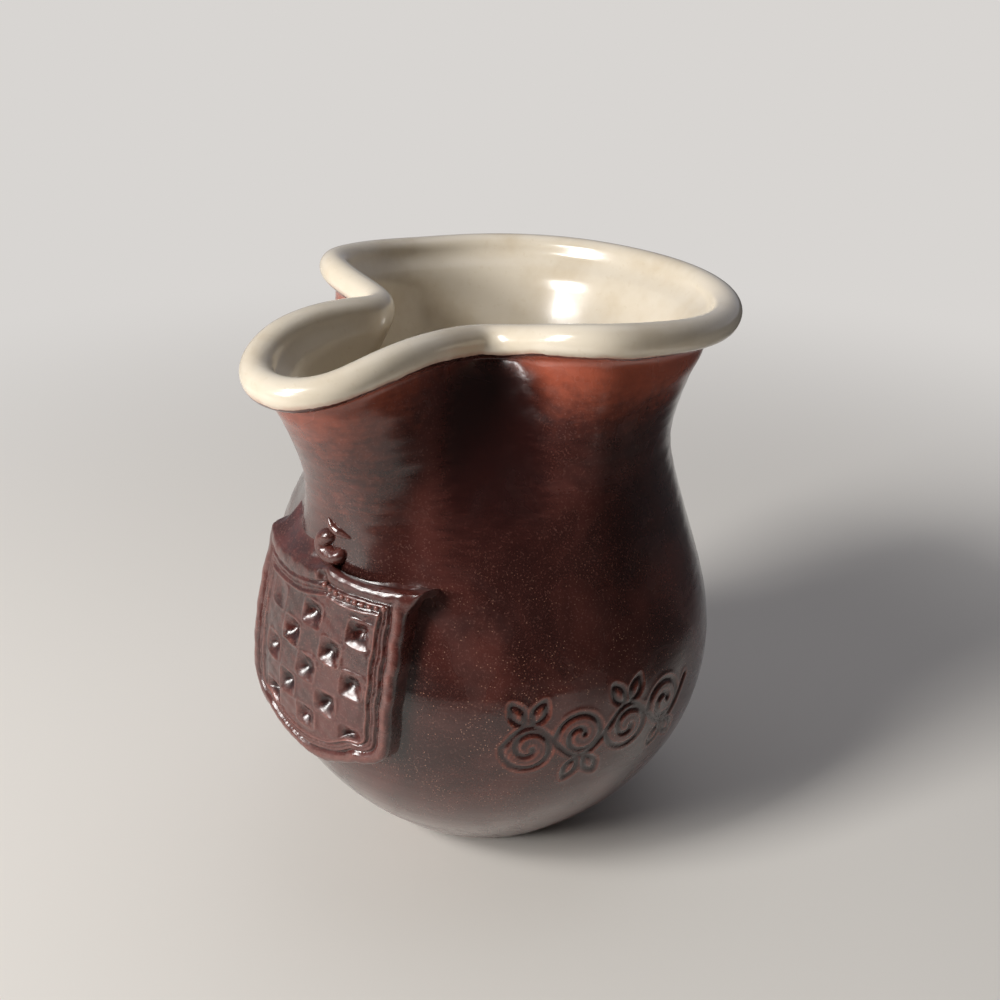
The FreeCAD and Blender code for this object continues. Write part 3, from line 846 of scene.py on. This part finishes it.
def slab_mesh(name, masks):
    """The bent grid with its back, as one closed mesh."""
    rings = [slab_border(shrink) for shrink in BACK_RINGS]
    centre = (0.0, -(float(wall_at(np.array(0.0), MIDDLE_Z)) - BACK_DEPTH), MIDDLE_Z)
    points = np.concatenate([slab.reshape(-1, 3)] + rings + [[centre]])
    faces = [(r * wide + c, r * wide + c + 1, (r + 1) * wide + c + 1, (r + 1) * wide + c)
             for r in range(tall - 1) for c in range(wide - 1)]
    size = len(BORDER)
    loops = [BORDER[:, 0] * wide + BORDER[:, 1]]
    loops += [tall * wide + k * size + np.arange(size) for k in range(len(rings))]
    loops = [loop.tolist() for loop in loops]
    for outer, behind in zip(loops, loops[1:]):
        for i in range(size):
            j = (i + 1) % size
            faces.append((outer[j], outer[i], behind[i], behind[j]))
    faces += [(loops[-1][(i + 1) % size], loops[-1][i], len(points) - 1) for i in range(size)]
    behind_face = np.zeros(len(points) - tall * wide)
    full = {mask: np.append(values.ravel(), behind_face) for mask, values in masks.items()}
    return smooth_mesh(name, points, faces, full)


def blurred(values, reach):
    """Values averaged over a square of the grid."""
    size = 2 * reach + 1
    padded = np.pad(values, reach, mode="edge")
    sums = np.cumsum(np.cumsum(np.pad(padded, ((1, 0), (1, 0))), axis=0), axis=1)
    squares = sums[size:, size:] - sums[:-size, size:] - sums[size:, :-size] + sums[:-size, :-size]
    return squares / size ** 2


proud = np.where(depth_in > 0.0, face_height, 0.0)
standing = proud - blurred(proud, BLUR_REACH)
shield_thin = np.clip(0.1 + 1.5 * standing, 0.0, 1.0) * rise
# Darker glaze in the shield's hollows and in the pits, kept in the pool mask
shield_hollow_darkening = np.clip(-1.4 * standing - 0.9 * pits * field - 0.15, 0.0, 1.0) * rise
shield = placed(slab_mesh("pressed_shield", {"thin": shield_thin, "pool": shield_hollow_darkening}))
print("shield", len(shield.data.polygons), "faces")

# %% [markdown]
# Geometry Nodes and glazes are trees of nodes: each node is a step, and a link from one node's socket
# to another's carries the result on. Three helpers keep such trees short to write. One fills an input
# with a value or with a link, one adds a node with its inputs, and one starts a group whose own
# inputs and outputs have names.

# %% Helpers for node trees


def fill(target, value):
    """Gives an input its value, or links it to another node's socket."""
    if isinstance(value, bpy.types.NodeSocket):
        target.id_data.links.new(value, target)
    else:
        target.default_value = value


def wire(tree, kind, settings=None, **inputs):
    """A node with its settings, and its inputs by name, or by number as i0, i1 and so on."""
    node = tree.nodes.new(kind)
    for setting, value in (settings or {}).items():
        setattr(node, setting, value)
    for key, value in inputs.items():
        numbered = key[0] == "i" and key[1:].isdigit()
        fill(node.inputs[int(key[1:]) if numbered else key.replace("_", " ")], value)
    return node


def new_group(name, kind, inputs, outputs):
    """An empty group, with a name and a type for each socket, and a value where one makes sense."""
    tree = bpy.data.node_groups.new(name, kind)
    for label, socket, *value in inputs:
        made = tree.interface.new_socket(label, in_out="INPUT", socket_type="NodeSocket" + socket)
        if value:
            made.default_value = value[0]
    for label, socket in outputs:
        tree.interface.new_socket(label, in_out="OUTPUT", socket_type="NodeSocket" + socket)
    return tree, tree.nodes.new("NodeGroupInput").outputs, tree.nodes.new("NodeGroupOutput").inputs


print("helpers for trees ready")

# %% [markdown]
# A string of pearls runs under the right half of the upper edge, between the roll and the fine ridge.
# Geometry Nodes make it: points at an even spacing along a curve, a ball on each, sunk partly into the
# groove, then real meshes and their material. The tree's sizes are named inputs, and a fixed seed
# makes the balls a little uneven, as small pressed forms are.

# %% The string of pearls
PEARL_RADIUS = 0.66
PEARL_SPACING = 1.55
PEARL_INSET = 4.1
PEARL_SINK = 0.3
PEARL_SUBDIVISIONS = 3


def pearl_tree():
    """Geometry Nodes that set balls along a curve."""
    tree, given, result = new_group(
        "pearls_on_a_curve", "GeometryNodeTree",
        [("Geometry", "Geometry"), ("Spacing", "Float", 0.001), ("Radius", "Float", 0.0005),
         ("Unevenness", "Float", 0.12), ("Seed", "Int", SEED), ("Material", "Material")],
        [("Geometry", "Geometry")])
    even = wire(tree, "GeometryNodeResampleCurve", {"mode": "LENGTH"},
                Curve=given["Geometry"], Length=given["Spacing"])
    ball = wire(tree, "GeometryNodeMeshIcoSphere", Radius=given["Radius"],
                Subdivisions=PEARL_SUBDIVISIONS)
    smallest = wire(tree, "ShaderNodeMath", {"operation": "SUBTRACT"}, i0=1.0, i1=given["Unevenness"])
    size = wire(tree, "FunctionNodeRandomValue", {"data_type": "FLOAT"},
                i2=smallest.outputs[0], i3=1.0, Seed=given["Seed"])
    string = wire(tree, "GeometryNodeInstanceOnPoints", Points=even.outputs["Curve"],
                  Instance=ball.outputs["Mesh"], Scale=size.outputs[1])
    real = wire(tree, "GeometryNodeRealizeInstances", Geometry=string.outputs["Instances"])
    smooth = wire(tree, "GeometryNodeSetShadeSmooth", Geometry=real.outputs["Geometry"])
    finish = wire(tree, "GeometryNodeSetMaterial", Geometry=smooth.outputs["Geometry"],
                  Material=given["Material"])
    fill(result["Geometry"], finish.outputs["Geometry"])
    return tree


def grown_mesh(name, carrier, tree, values):
    """Runs a tree on an object with the given inputs, and gives the result as a plain mesh."""
    modifier = carrier.modifiers.new("grow", "NODES")
    modifier.node_group = tree
    for item in tree.interface.items_tree:
        if item.item_type == "SOCKET" and item.in_out == "INPUT" and item.name in values:
            modifier[item.identifier] = values[item.name]
    shown = carrier.evaluated_get(bpy.context.evaluated_depsgraph_get())
    mesh = bpy.data.meshes.new_from_object(shown)
    mesh.name = name
    mesh.materials.clear()
    mesh.materials.append(values["Material"])
    carrier.modifiers.remove(modifier)
    return mesh


def curve_through(name, points):
    """A curve through points, in millimetres."""
    curve = bpy.data.curves.new(name, "CURVE")
    curve.dimensions = "3D"
    spline = curve.splines.new("POLY")
    spline.points.add(len(points) - 1)
    for knot, place in zip(spline.points, points):
        knot.co = (*(np.array(place) * MM), 1.0)
    return curve


def face_point(x, z, out):
    """A point on the shield's face, from its place in the drawing."""
    angle, radius = face_place(x, z)
    return polar(angle, radius + out, z)


swag = scallops(0.0)[0]
run = np.gradient(swag, axis=0)
down = np.stack([-run[:, 1], run[:, 0]], axis=1) / np.linalg.norm(run, axis=1)[:, None]
string = swag + PEARL_INSET * down
string = string[string[:, 0] < right - PEARL_INSET]
print("string of pearls", len(string), "points, lowest", round(float(string[:, 1].min()), 1), "mm")

# %% [markdown]
# Above the shield a short roll of clay was bent into a curl and pressed onto the wall, with a thin
# leaf over it. Both are strips swept along a line on the wall, thick in the middle and thin at the
# ends, and sunk a little into the clay.

# %% The curl and the leaf
CURL_LINE = ((1.7, 82.1), (-0.5, 81.9), (-1.8, 80.5), (-1.4, 79.1), (0.3, 78.3), (2.3, 78.5),
             (3.4, 79.8), (3.4, 80.7))
CURL_SIZES = (1.2, 1.75, 2.05, 2.1, 2.1, 2.0, 1.7, 1.1)
LEAF_LINE = ((0.2, 86.4), (1.2, 84.9), (3.2, 84.0), (6.6, 83.4))
LEAF_SIZES = (0.35, 0.95, 1.0, 0.3)
STRIP_SIDES = 20
STRIP_STEPS = 90
STRIP_END_POWER = 10
STRIP_THIN = 0.3


def swept_strip(name, line, sizes):
    """A rounded strip along a smooth line on the wall."""
    line = np.array(line)
    knots = np.concatenate([[0.0], np.cumsum(np.linalg.norm(np.diff(line, axis=0), axis=1))])
    places = np.linspace(0.0, knots[-1], STRIP_STEPS)
    x, z = (spline_weights(knots, places, False) @ line).T
    from_middle = 2.0 * places / knots[-1] - 1.0
    closing = np.sqrt(np.clip(1.0 - from_middle ** STRIP_END_POWER, 0.0, 1.0))
    size = np.interp(places, knots, sizes) * closing
    angle = x / BELLY_RADIUS
    centre = polar(angle, wall_at(angle, z), z)
    outward = polar(angle, 1.0, 0.0)
    forward = np.gradient(centre, axis=0)
    forward /= np.linalg.norm(forward, axis=1)[:, None]
    side = np.cross(outward, forward)
    turn = np.linspace(0.0, math.tau, STRIP_SIDES, endpoint=False)[None, :, None]
    across = np.cos(turn) * side[:, None, :] + np.sin(turn) * outward[:, None, :]
    rows = centre[:, None, :] + size[:, None, None] * across
    masks = {"thin": np.full(rows.shape[:2], STRIP_THIN)}
    return placed(closed_mesh(name, rows, centre[0], centre[-1], masks))


curl = swept_strip("clay_curl", CURL_LINE, CURL_SIZES)
leaf = swept_strip("clay_leaf", LEAF_LINE, LEAF_SIZES)
print("curl", len(curl.data.polygons), "faces, leaf", len(leaf.data.polygons), "faces")

# %% [markdown]
# Two glazes cover the clay, and each is a tree of nodes that works out colour, roughness and surface
# height from noise and from the masks. The sums in such a tree are many and small, so a few helpers
# write each in one word. They find the tree from the sockets that they are given.

# %% Helpers for glazes


def maths(operation, first, second=0.0, clamp=False):
    """The result of one sum of two values, at least one of them a socket."""
    tree = (first if isinstance(first, bpy.types.NodeSocket) else second).id_data
    settings = {"operation": operation, "use_clamp": clamp}
    return wire(tree, "ShaderNodeMath", settings, i0=first, i1=second).outputs[0]


def plus(first, second):
    """Two values added."""
    return maths("ADD", first, second)


def less(first, second):
    """The second value taken from the first."""
    return maths("SUBTRACT", first, second)


def times(first, second):
    """Two values multiplied."""
    return maths("MULTIPLY", first, second)


def stepped(value, low, high):
    """An S from 0 to 1 as a value goes from low to high."""
    node = wire(value.id_data, "ShaderNodeMapRange", {"interpolation_type": "SMOOTHSTEP"},
                Value=value, From_Min=low, From_Max=high)
    return node.outputs["Result"]


def mixed(share, first, second):
    """Two colours mixed by a share."""
    settings = {"data_type": "RGBA"}
    return wire(share.id_data, "ShaderNodeMix", settings, i0=share, i6=first, i7=second).outputs[2]


def noise(place, scale, detail=3.0, rough=0.55, distortion=0.0):
    """Soft noise at a scale in waves a metre."""
    node = wire(place.id_data, "ShaderNodeTexNoise", Vector=place, Scale=scale, Detail=detail,
                Roughness=rough, Distortion=distortion)
    return node.outputs["Fac"]


def object_place(tree):
    """The place of a point on its own piece, in metres."""
    return wire(tree, "ShaderNodeTexCoord").outputs["Object"]


def mask(tree, name):
    """A mask kept on the mesh's points."""
    return wire(tree, "ShaderNodeAttribute", {"attribute_name": name}).outputs["Fac"]


def linear(red, green, blue):
    """A colour given as it looks on a screen, from 0 to 255, turned into light."""
    values = [v / 255.0 for v in (red, green, blue)]
    return tuple(v / 12.92 if v <= 0.04045 else ((v + 0.055) / 1.055) ** 2.4 for v in values) + (1.0,)


print("helpers ready")

# %% [markdown]
# The brown glaze is an iron glaze. Where it lies thick it is a dark maroon that goes nearly black in
# the valleys, partly as pooled glaze and partly as painted shade, and where it runs thin, on ridges and
# under the rim, the orange clay shows through. It has a fine pale grain and tiny pale specks where
# crystals grew, both partly painted glints. The pot and the shield both wear it, so it is a node group
# that gives colour, roughness and height, and each material has its own shader.

# %% The brown glaze
BROWN_DEEP = linear(50, 23, 20)
BROWN_MID = linear(86, 45, 39)
BROWN_THIN = linear(160, 80, 58)
BROWN_THIN_SHIELD = linear(132, 80, 70)
# The near-black of pooled glaze, which in the valleys behind the spout is painted shade
BROWN_POOL_AND_SHADE = linear(35, 11, 10)
# Pale specks, partly crystals and partly painted glints
SPECK_AND_GLINT_COLOUR = linear(186, 140, 118)
# Fine pale grain and crumbs, partly crystals and partly painted glints
GRAIN_AND_GLINT_COLOUR = linear(150, 106, 96)

# Sizes of the patterns, in waves a metre
PATCHES = 38.0
GRAIN = 520.0
STREAKS = 190.0
TINY_GRAIN_AND_GLINTS = 2400.0
SPECKS_AND_GLINTS = 1500.0
SPECK_AND_GLINT_GROUPS = 95.0
SMEARS = 70.0
TURNED_LINES = 900.0
PEEL = 1500.0
STREAK_STRETCH = (1.0, 1.0, 5.0)
LINE_STRETCH = (0.15, 0.15, 1.0)

# Specks, partly painted glints: how big one is in its cell, how rare, and the heights on the pot
# between which they end
SPECK_AND_GLINT_SIZE = 0.17
SPECK_AND_GLINT_RARITY = 0.64
SPECK_AND_GLINT_LEVELS = (55.0 * MM, 95.0 * MM)

brown, given, result = new_group(
    "Brown glaze", "ShaderNodeTree",
    [("Thin", "Float", 0.0), ("Pool", "Float", 0.0), ("Specks", "Float", 1.0),
     ("Thin Colour", "Color", BROWN_THIN), ("Roughness", "Float", 0.12)],
    [("Color", "Color"), ("Roughness", "Float"), ("Height", "Float")])
place = object_place(brown)
patches = noise(place, PATCHES, 4.0, 0.6, 0.4)
grain = noise(place, GRAIN, 3.0, 0.6)
streak_place = wire(brown, "ShaderNodeMapping", Vector=place, Scale=STREAK_STRETCH).outputs[0]
streaks = noise(streak_place, STREAKS, 3.0, 0.6)

# Thin glaze, and near-black glaze that is partly pooled and partly painted shade, with edges broken
# by the patterns
base = mixed(stepped(patches, 0.35, 0.68), BROWN_DEEP, BROWN_MID)
grainy = plus(times(grain, 0.55), times(streaks, 0.45))
thin_share = stepped(plus(given["Thin"], times(less(grainy, 0.5), 0.9)), 0.1, 1.0)
uneven = plus(times(patches, 0.9), times(streaks, 0.7))
pool_and_shade_edge = plus(given["Pool"], less(uneven, 0.8))
pool_and_shade_share = times(stepped(pool_and_shade_edge, 0.05, 0.95), 0.92)
outside_pool_and_shade = less(1.0, pool_and_shade_share)
colour = mixed(thin_share, base, given["Thin Colour"])
# Near-black where the glaze pooled, and painted shade in the valleys behind the spout
colour = mixed(pool_and_shade_share, colour, BROWN_POOL_AND_SHADE)
# A fine pale grain of crystals, partly painted glints
tiny = times(stepped(noise(place, TINY_GRAIN_AND_GLINTS, 1.0), 0.56, 0.74), outside_pool_and_shade)
colour = mixed(times(tiny, 0.2), colour, GRAIN_AND_GLINT_COLOUR)

# Specks, partly pale crystals and partly painted glints: a dot in the middle of a few cells, low down
# and out of the pooled glaze and painted shade
cells = wire(brown, "ShaderNodeTexVoronoi", Vector=place, Scale=SPECKS_AND_GLINTS)
chosen = wire(brown, "ShaderNodeSeparateColor", Color=cells.outputs["Color"]).outputs[0]
few = plus(noise(place, SPECK_AND_GLINT_GROUPS, 3.0), times(chosen, 0.22))
dots = maths("LESS_THAN", cells.outputs["Distance"], SPECK_AND_GLINT_SIZE)
speck_and_glint = times(dots, maths("GREATER_THAN", few, SPECK_AND_GLINT_RARITY))
level = wire(brown, "ShaderNodeSeparateXYZ", Vector=place).outputs[2]
low_down = less(1.0, stepped(level, *SPECK_AND_GLINT_LEVELS))
speck_and_glint = times(times(speck_and_glint, times(given["Specks"], low_down)), outside_pool_and_shade)
fill(result["Color"], mixed(times(speck_and_glint, 0.6), colour, SPECK_AND_GLINT_COLOUR))

# Roughness and height: smears left by the fingers, the grain, and fine lines of the turning
smears = stepped(noise(place, SMEARS, 4.0, 0.6, 0.8), 0.3, 0.75)
rough = plus(times(smears, 0.26), given["Roughness"])
fill(result["Roughness"], less(rough, times(pool_and_shade_share, 0.05)))
lines_place = wire(brown, "ShaderNodeMapping", Vector=place, Scale=LINE_STRETCH).outputs[0]
turned = noise(lines_place, TURNED_LINES, 2.0, 0.5)
height = plus(times(grain, 0.35), times(turned, 0.65))
fill(result["Height"], plus(height, times(noise(place, PEEL, 1.0), 0.5)))
print("brown glaze", len(brown.nodes), "nodes")

# %% [markdown]
# A glaze is glassy: a shader with a clear coat over the colour does that. The shield was pressed from
# a worn mould and rubbed, so its brown is mottled with red and has pale crumbs, which are partly
# painted glints. Its ridges stay plain, because there the glaze ran thin.

# %% The shield's material
SHIELD_RED = linear(90, 38, 32)
SHIELD_MOTTLE = 230.0
SHIELD_CRUMBS_AND_GLINTS = 1500.0
SHIELD_ROUGHNESS = 0.2
BUMP_HEIGHT = 0.05 * MM
SHIELD_BUMP = 1.4 * BUMP_HEIGHT
GLAZE_IOR = 1.52
COAT_WEIGHT = 0.55
COAT_IOR = 1.5


def new_material(name):
    """A material with its tree and its shader."""
    made = bpy.data.materials.new(name)
    made.use_nodes = True
    return made, made.node_tree, made.node_tree.nodes["Principled BSDF"]


def brown_placed(tree, **values):
    """The outputs of the brown glaze placed in a material, led by the masks of the mesh."""
    return wire(tree, "ShaderNodeGroup", {"node_tree": brown}, Thin=mask(tree, "thin"),
                Pool=mask(tree, "pool"), **values).outputs


def glaze_shader(shader, colour, roughness, height, strength, distance, coat_roughness):
    """A hard clear glaze: its colour, roughness and bump, and its constants on the shader itself."""
    bump = wire(shader.id_data, "ShaderNodeBump", Height=height, Strength=strength, Distance=distance)
    values = {"Base Color": colour, "Roughness": roughness, "Normal": bump.outputs["Normal"],
              "IOR": GLAZE_IOR, "Coat Weight": COAT_WEIGHT, "Coat Roughness": coat_roughness,
              "Coat IOR": COAT_IOR}
    for name, value in values.items():
        fill(shader.inputs[name], value)


shield_glaze, tree, shader = new_material("shield_glaze")
glaze = brown_placed(tree, Specks=0.3, Thin_Colour=BROWN_THIN_SHIELD, Roughness=SHIELD_ROUGHNESS)
place = object_place(tree)
mottle = stepped(noise(place, SHIELD_MOTTLE, 5.0, 0.7), 0.42, 0.62)
mottle = times(mottle, less(1.0, mask(tree, "thin")))
colour = mixed(times(mottle, 0.6), glaze["Color"], SHIELD_RED)
# Pale crumbs, partly painted glints
crumbs_and_glints = stepped(noise(place, SHIELD_CRUMBS_AND_GLINTS, 3.0, 0.6), 0.57, 0.68)
colour = mixed(times(crumbs_and_glints, 0.22), colour, GRAIN_AND_GLINT_COLOUR)
glaze_shader(shader, colour, glaze["Roughness"], glaze["Height"], 1.0, SHIELD_BUMP, SHIELD_ROUGHNESS)
for piece in (shield, curl, leaf):
    piece.data.materials.append(shield_glaze)
print("shield's glaze", len(tree.nodes), "nodes")

# %% [markdown]
# The rim and the inside have a cream glaze over a pale slip. It ends in an uneven line under the
# bead, with a thin dark seam and a pink blush where the two glazes bled together. The foot was wiped
# clean, so bare red clay shows there.

# %% The pot's material
CREAM = linear(222, 211, 192)
CREAM_WARM = linear(206, 190, 164)
SEAM_DARK = linear(52, 30, 26)
BLUSH = linear(186, 128, 108)
BARE_CLAY = linear(150, 86, 62)
LINE_WANDER = (70.0, 2.6 * MM)
LINE_RAGGED = (260.0, 1.3 * MM)
LINE_EDGE = (-0.08 * MM, 0.12 * MM)
BLUSH_REACH = (0.1 * MM, 1.3 * MM)
SEAM_BELOW = 0.5 * MM
SEAM_REACH = (0.2 * MM, 0.9 * MM)
WARM_PATCHES = 60.0
CREAM_SPECKS = 800.0

pot_glaze, tree, shader = new_material("pot_glaze")
place = object_place(tree)
glaze = brown_placed(tree, Specks=1.0)
wander = times(less(noise(place, LINE_WANDER[0], 1.0), 0.5), LINE_WANDER[1])
ragged = times(less(noise(place, LINE_RAGGED[0], 3.0, 0.6), 0.5), LINE_RAGGED[1])
line = plus(mask(tree, "edge"), plus(wander, ragged))
is_cream = stepped(line, *LINE_EDGE)

# The cream, with its warmer patches, its specks and the blush along its line
warm = noise(place, WARM_PATCHES, 4.0, 0.6)
cream = mixed(stepped(warm, 0.4, 0.8), CREAM, CREAM_WARM)
fine = stepped(noise(place, CREAM_SPECKS, 2.0), 0.62, 0.7)
cream = mixed(times(fine, 0.25), cream, CREAM_WARM)
blush = times(less(1.0, stepped(line, *BLUSH_REACH)), stepped(warm, 0.36, 0.58))
cream = mixed(times(blush, 0.6), cream, BLUSH)

# The seam darkens the brown just below the line, and the foot is bare
seam = less(1.0, stepped(maths("ABSOLUTE", plus(line, SEAM_BELOW)), *SEAM_REACH))
outer = mixed(times(seam, 0.85), glaze["Color"], SEAM_DARK)
bare = stepped(mask(tree, "bare"), 0.4, 0.6)
colour = mixed(bare, mixed(is_cream, outer, cream), BARE_CLAY)
gap = less(plus(times(warm, 0.2), 0.12), glaze["Roughness"])
rough = plus(glaze["Roughness"], times(gap, is_cream))
rough = maths("ADD", rough, times(bare, 0.6), clamp=True)
soft = times(glaze["Height"], less(1.0, times(is_cream, 0.75)))
glaze_shader(shader, colour, rough, soft, 0.85, BUMP_HEIGHT, 0.12)
pot.data.materials.append(pot_glaze)
print("pot's glaze", len(tree.nodes), "nodes")

# %% [markdown]
# The pearls grow from the tree of their cell along the line worked out there. The result is one
# plain mesh with the shield's glaze, worn thin on each pearl.

# %% The pearls grown
PEARL_UNEVENNESS = 0.18
PEARL_THIN = 0.7
string_points = face_point(string[:, 0], string[:, 1], GROOVE_LEVEL + PEARL_SINK)
carrier = placed(curve_through("pearl_line", string_points))
pearl_values = {"Spacing": PEARL_SPACING * MM, "Radius": PEARL_RADIUS * MM,
                "Unevenness": PEARL_UNEVENNESS, "Seed": SEED, "Material": shield_glaze}
pearls = placed(grown_mesh("string_of_pearls", carrier, pearl_tree(), pearl_values))
bpy.data.objects.remove(carrier)
keep_mask(pearls.data, "thin", np.full(len(pearls.data.vertices), PEARL_THIN))
print("pearls", len(pearls.data.polygons), "faces, materials", [m.name for m in pearls.data.materials])

# %% [markdown]
# The stage is plain: a pale floor that runs out of view, a window of two panes before the spout, and
# a weak wide lamp above. The world is dim behind the camera and lighter beyond the pot, as a room
# with one window is, so the glaze stays dark and deep. Mirrored in the glaze the floor ends like a
# shelf.

# %% Floor and world
FLOOR_COLOUR = linear(228, 224, 217)
FLOOR_ROUGHNESS = 0.6
FLOOR_REACH = 4.0
SHELF_FRONT = 0.19
SHELF_RIGHT = 0.12
SHELF_FADE = 0.07
PALE_REACH = (0.13, 0.45)
ROOM_DARK = (0.04, 0.038, 0.036, 1.0)
ROOM_LIGHT = (0.28, 0.28, 0.31, 1.0)
ROOM_REACH = (-0.1, 0.65)
ROOM_LIFT = 0.35
BACKGROUND = linear(216, 213, 210)


def vector_sum(operation, place, **inputs):
    """The number that a sum on a place gives."""
    settings = {"operation": operation}
    return wire(place.id_data, "ShaderNodeVectorMath", settings, i0=place, **inputs).outputs["Value"]


heading_x = -math.sin(math.radians(CAMERA_HEADING))
heading_y = math.cos(math.radians(CAMERA_HEADING))
floor_mesh = bpy.data.meshes.new("floor")
corners = [(x * FLOOR_REACH, y * FLOOR_REACH, 0.0) for x, y in ((-1, -1), (1, -1), (1, 1), (-1, 1))]
floor_mesh.from_pydata(corners, [], [(0, 1, 2, 3)])
floor_finish, tree, shader = new_material("floor_finish")
floor_mesh.materials.append(floor_finish)
floor = placed(floor_mesh)
place = object_place(tree)
nearer = vector_sum("DOT_PRODUCT", place, i1=(-heading_x, -heading_y, 0.0))
aside = vector_sum("DOT_PRODUCT", place, i1=(heading_y, -heading_x, 0.0))
beyond = maths("MAXIMUM", stepped(nearer, SHELF_FRONT, SHELF_FRONT + SHELF_FADE),
               stepped(aside, SHELF_RIGHT, SHELF_RIGHT + SHELF_FADE))
ray = wire(tree, "ShaderNodeLightPath").outputs
mirrored = times(beyond, ray["Is Glossy Ray"])
fill(shader.inputs["Base Color"], mixed(mirrored, FLOOR_COLOUR, ROOM_DARK))
fill(shader.inputs["Roughness"], FLOOR_ROUGHNESS)
far = times(stepped(vector_sum("LENGTH", place), *PALE_REACH), ray["Is Camera Ray"])
pale = wire(tree, "ShaderNodeEmission", Color=BACKGROUND, Strength=1.0)
whole = wire(tree, "ShaderNodeMixShader", i0=far, i1=shader.outputs[0], i2=pale.outputs[0])
fill(tree.nodes["Material Output"].inputs["Surface"], whole.outputs[0])

world = bpy.data.worlds.new("world")
world.use_nodes = True
tree = world.node_tree
lit = tree.nodes["Background"]
seen = wire(tree, "ShaderNodeBackground", Color=BACKGROUND, Strength=1.0)
way = wire(tree, "ShaderNodeTexCoord").outputs["Generated"]
ahead = vector_sum("DOT_PRODUCT", way, i1=(heading_x, heading_y, ROOM_LIFT))
fill(lit.inputs["Color"], mixed(stepped(ahead, *ROOM_REACH), ROOM_DARK, ROOM_LIGHT))
to_camera = wire(tree, "ShaderNodeLightPath").outputs["Is Camera Ray"]
choose = wire(tree, "ShaderNodeMixShader", i0=to_camera, i1=lit.outputs[0], i2=seen.outputs[0])
fill(tree.nodes["World Output"].inputs["Surface"], choose.outputs[0])
bpy.context.scene.world = world
print("floor", 2.0 * FLOOR_REACH, "m wide")

# %% [markdown]
# A window lights a glaze with a bright shape that has edges, so its two panes are rectangles of
# light, one over the other. Each lamp is placed by the direction in which the pot sees it.

# %% Light
LAMP_AIM = Vector((0.0, 0.0, 0.07))
PANE_AZIMUTH = -16.0
PANE_ELEVATIONS = {"upper_pane": 38.0, "lower_pane": 19.0}
PANE_SIZE = (0.28, 0.22)
PANE_POWER = 6.2
PANE_COLOUR = (1.0, 0.985, 0.965)
CEILING_SIZE = (0.9, 0.9)
CEILING_POWER = 0.9
CEILING_COLOUR = (0.97, 0.98, 1.0)


def soft_lamp(name, azimuth, elevation, away, size, power, colour):
    """A rectangular lamp seen from the pot in a direction, counted from the spout towards +X."""
    turn, lift = math.radians(azimuth), math.radians(elevation)
    toward = Vector((math.sin(turn) * math.cos(lift), -math.cos(turn) * math.cos(lift), math.sin(lift)))
    data = bpy.data.lights.new(name, "AREA")
    data.shape = "RECTANGLE"
    data.size, data.size_y = size
    data.energy = power
    data.color = colour
    lamp = placed(data)
    lamp.location = LAMP_AIM + toward * away
    lamp.rotation_euler = (-toward).to_track_quat("-Z", "Y").to_euler()


for pane, elevation in PANE_ELEVATIONS.items():
    soft_lamp(pane, PANE_AZIMUTH, elevation, 1.0, PANE_SIZE, PANE_POWER, PANE_COLOUR)
soft_lamp("ceiling", 200.0, 68.0, 1.1, CEILING_SIZE, CEILING_POWER, CEILING_COLOUR)
bpy.context.scene.view_settings.view_transform = "Standard"
print("stage ready")

# %% [markdown]
# Last, every piece is tied to the imported model: the dressed pieces stand for its one node and ride
# on its one body.

# %% Ties to the imported model
dressed = (pot, shield, curl, leaf, pearls)
for piece in dressed:
    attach(piece, "root")
for piece in dressed:
    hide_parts("pitcher")
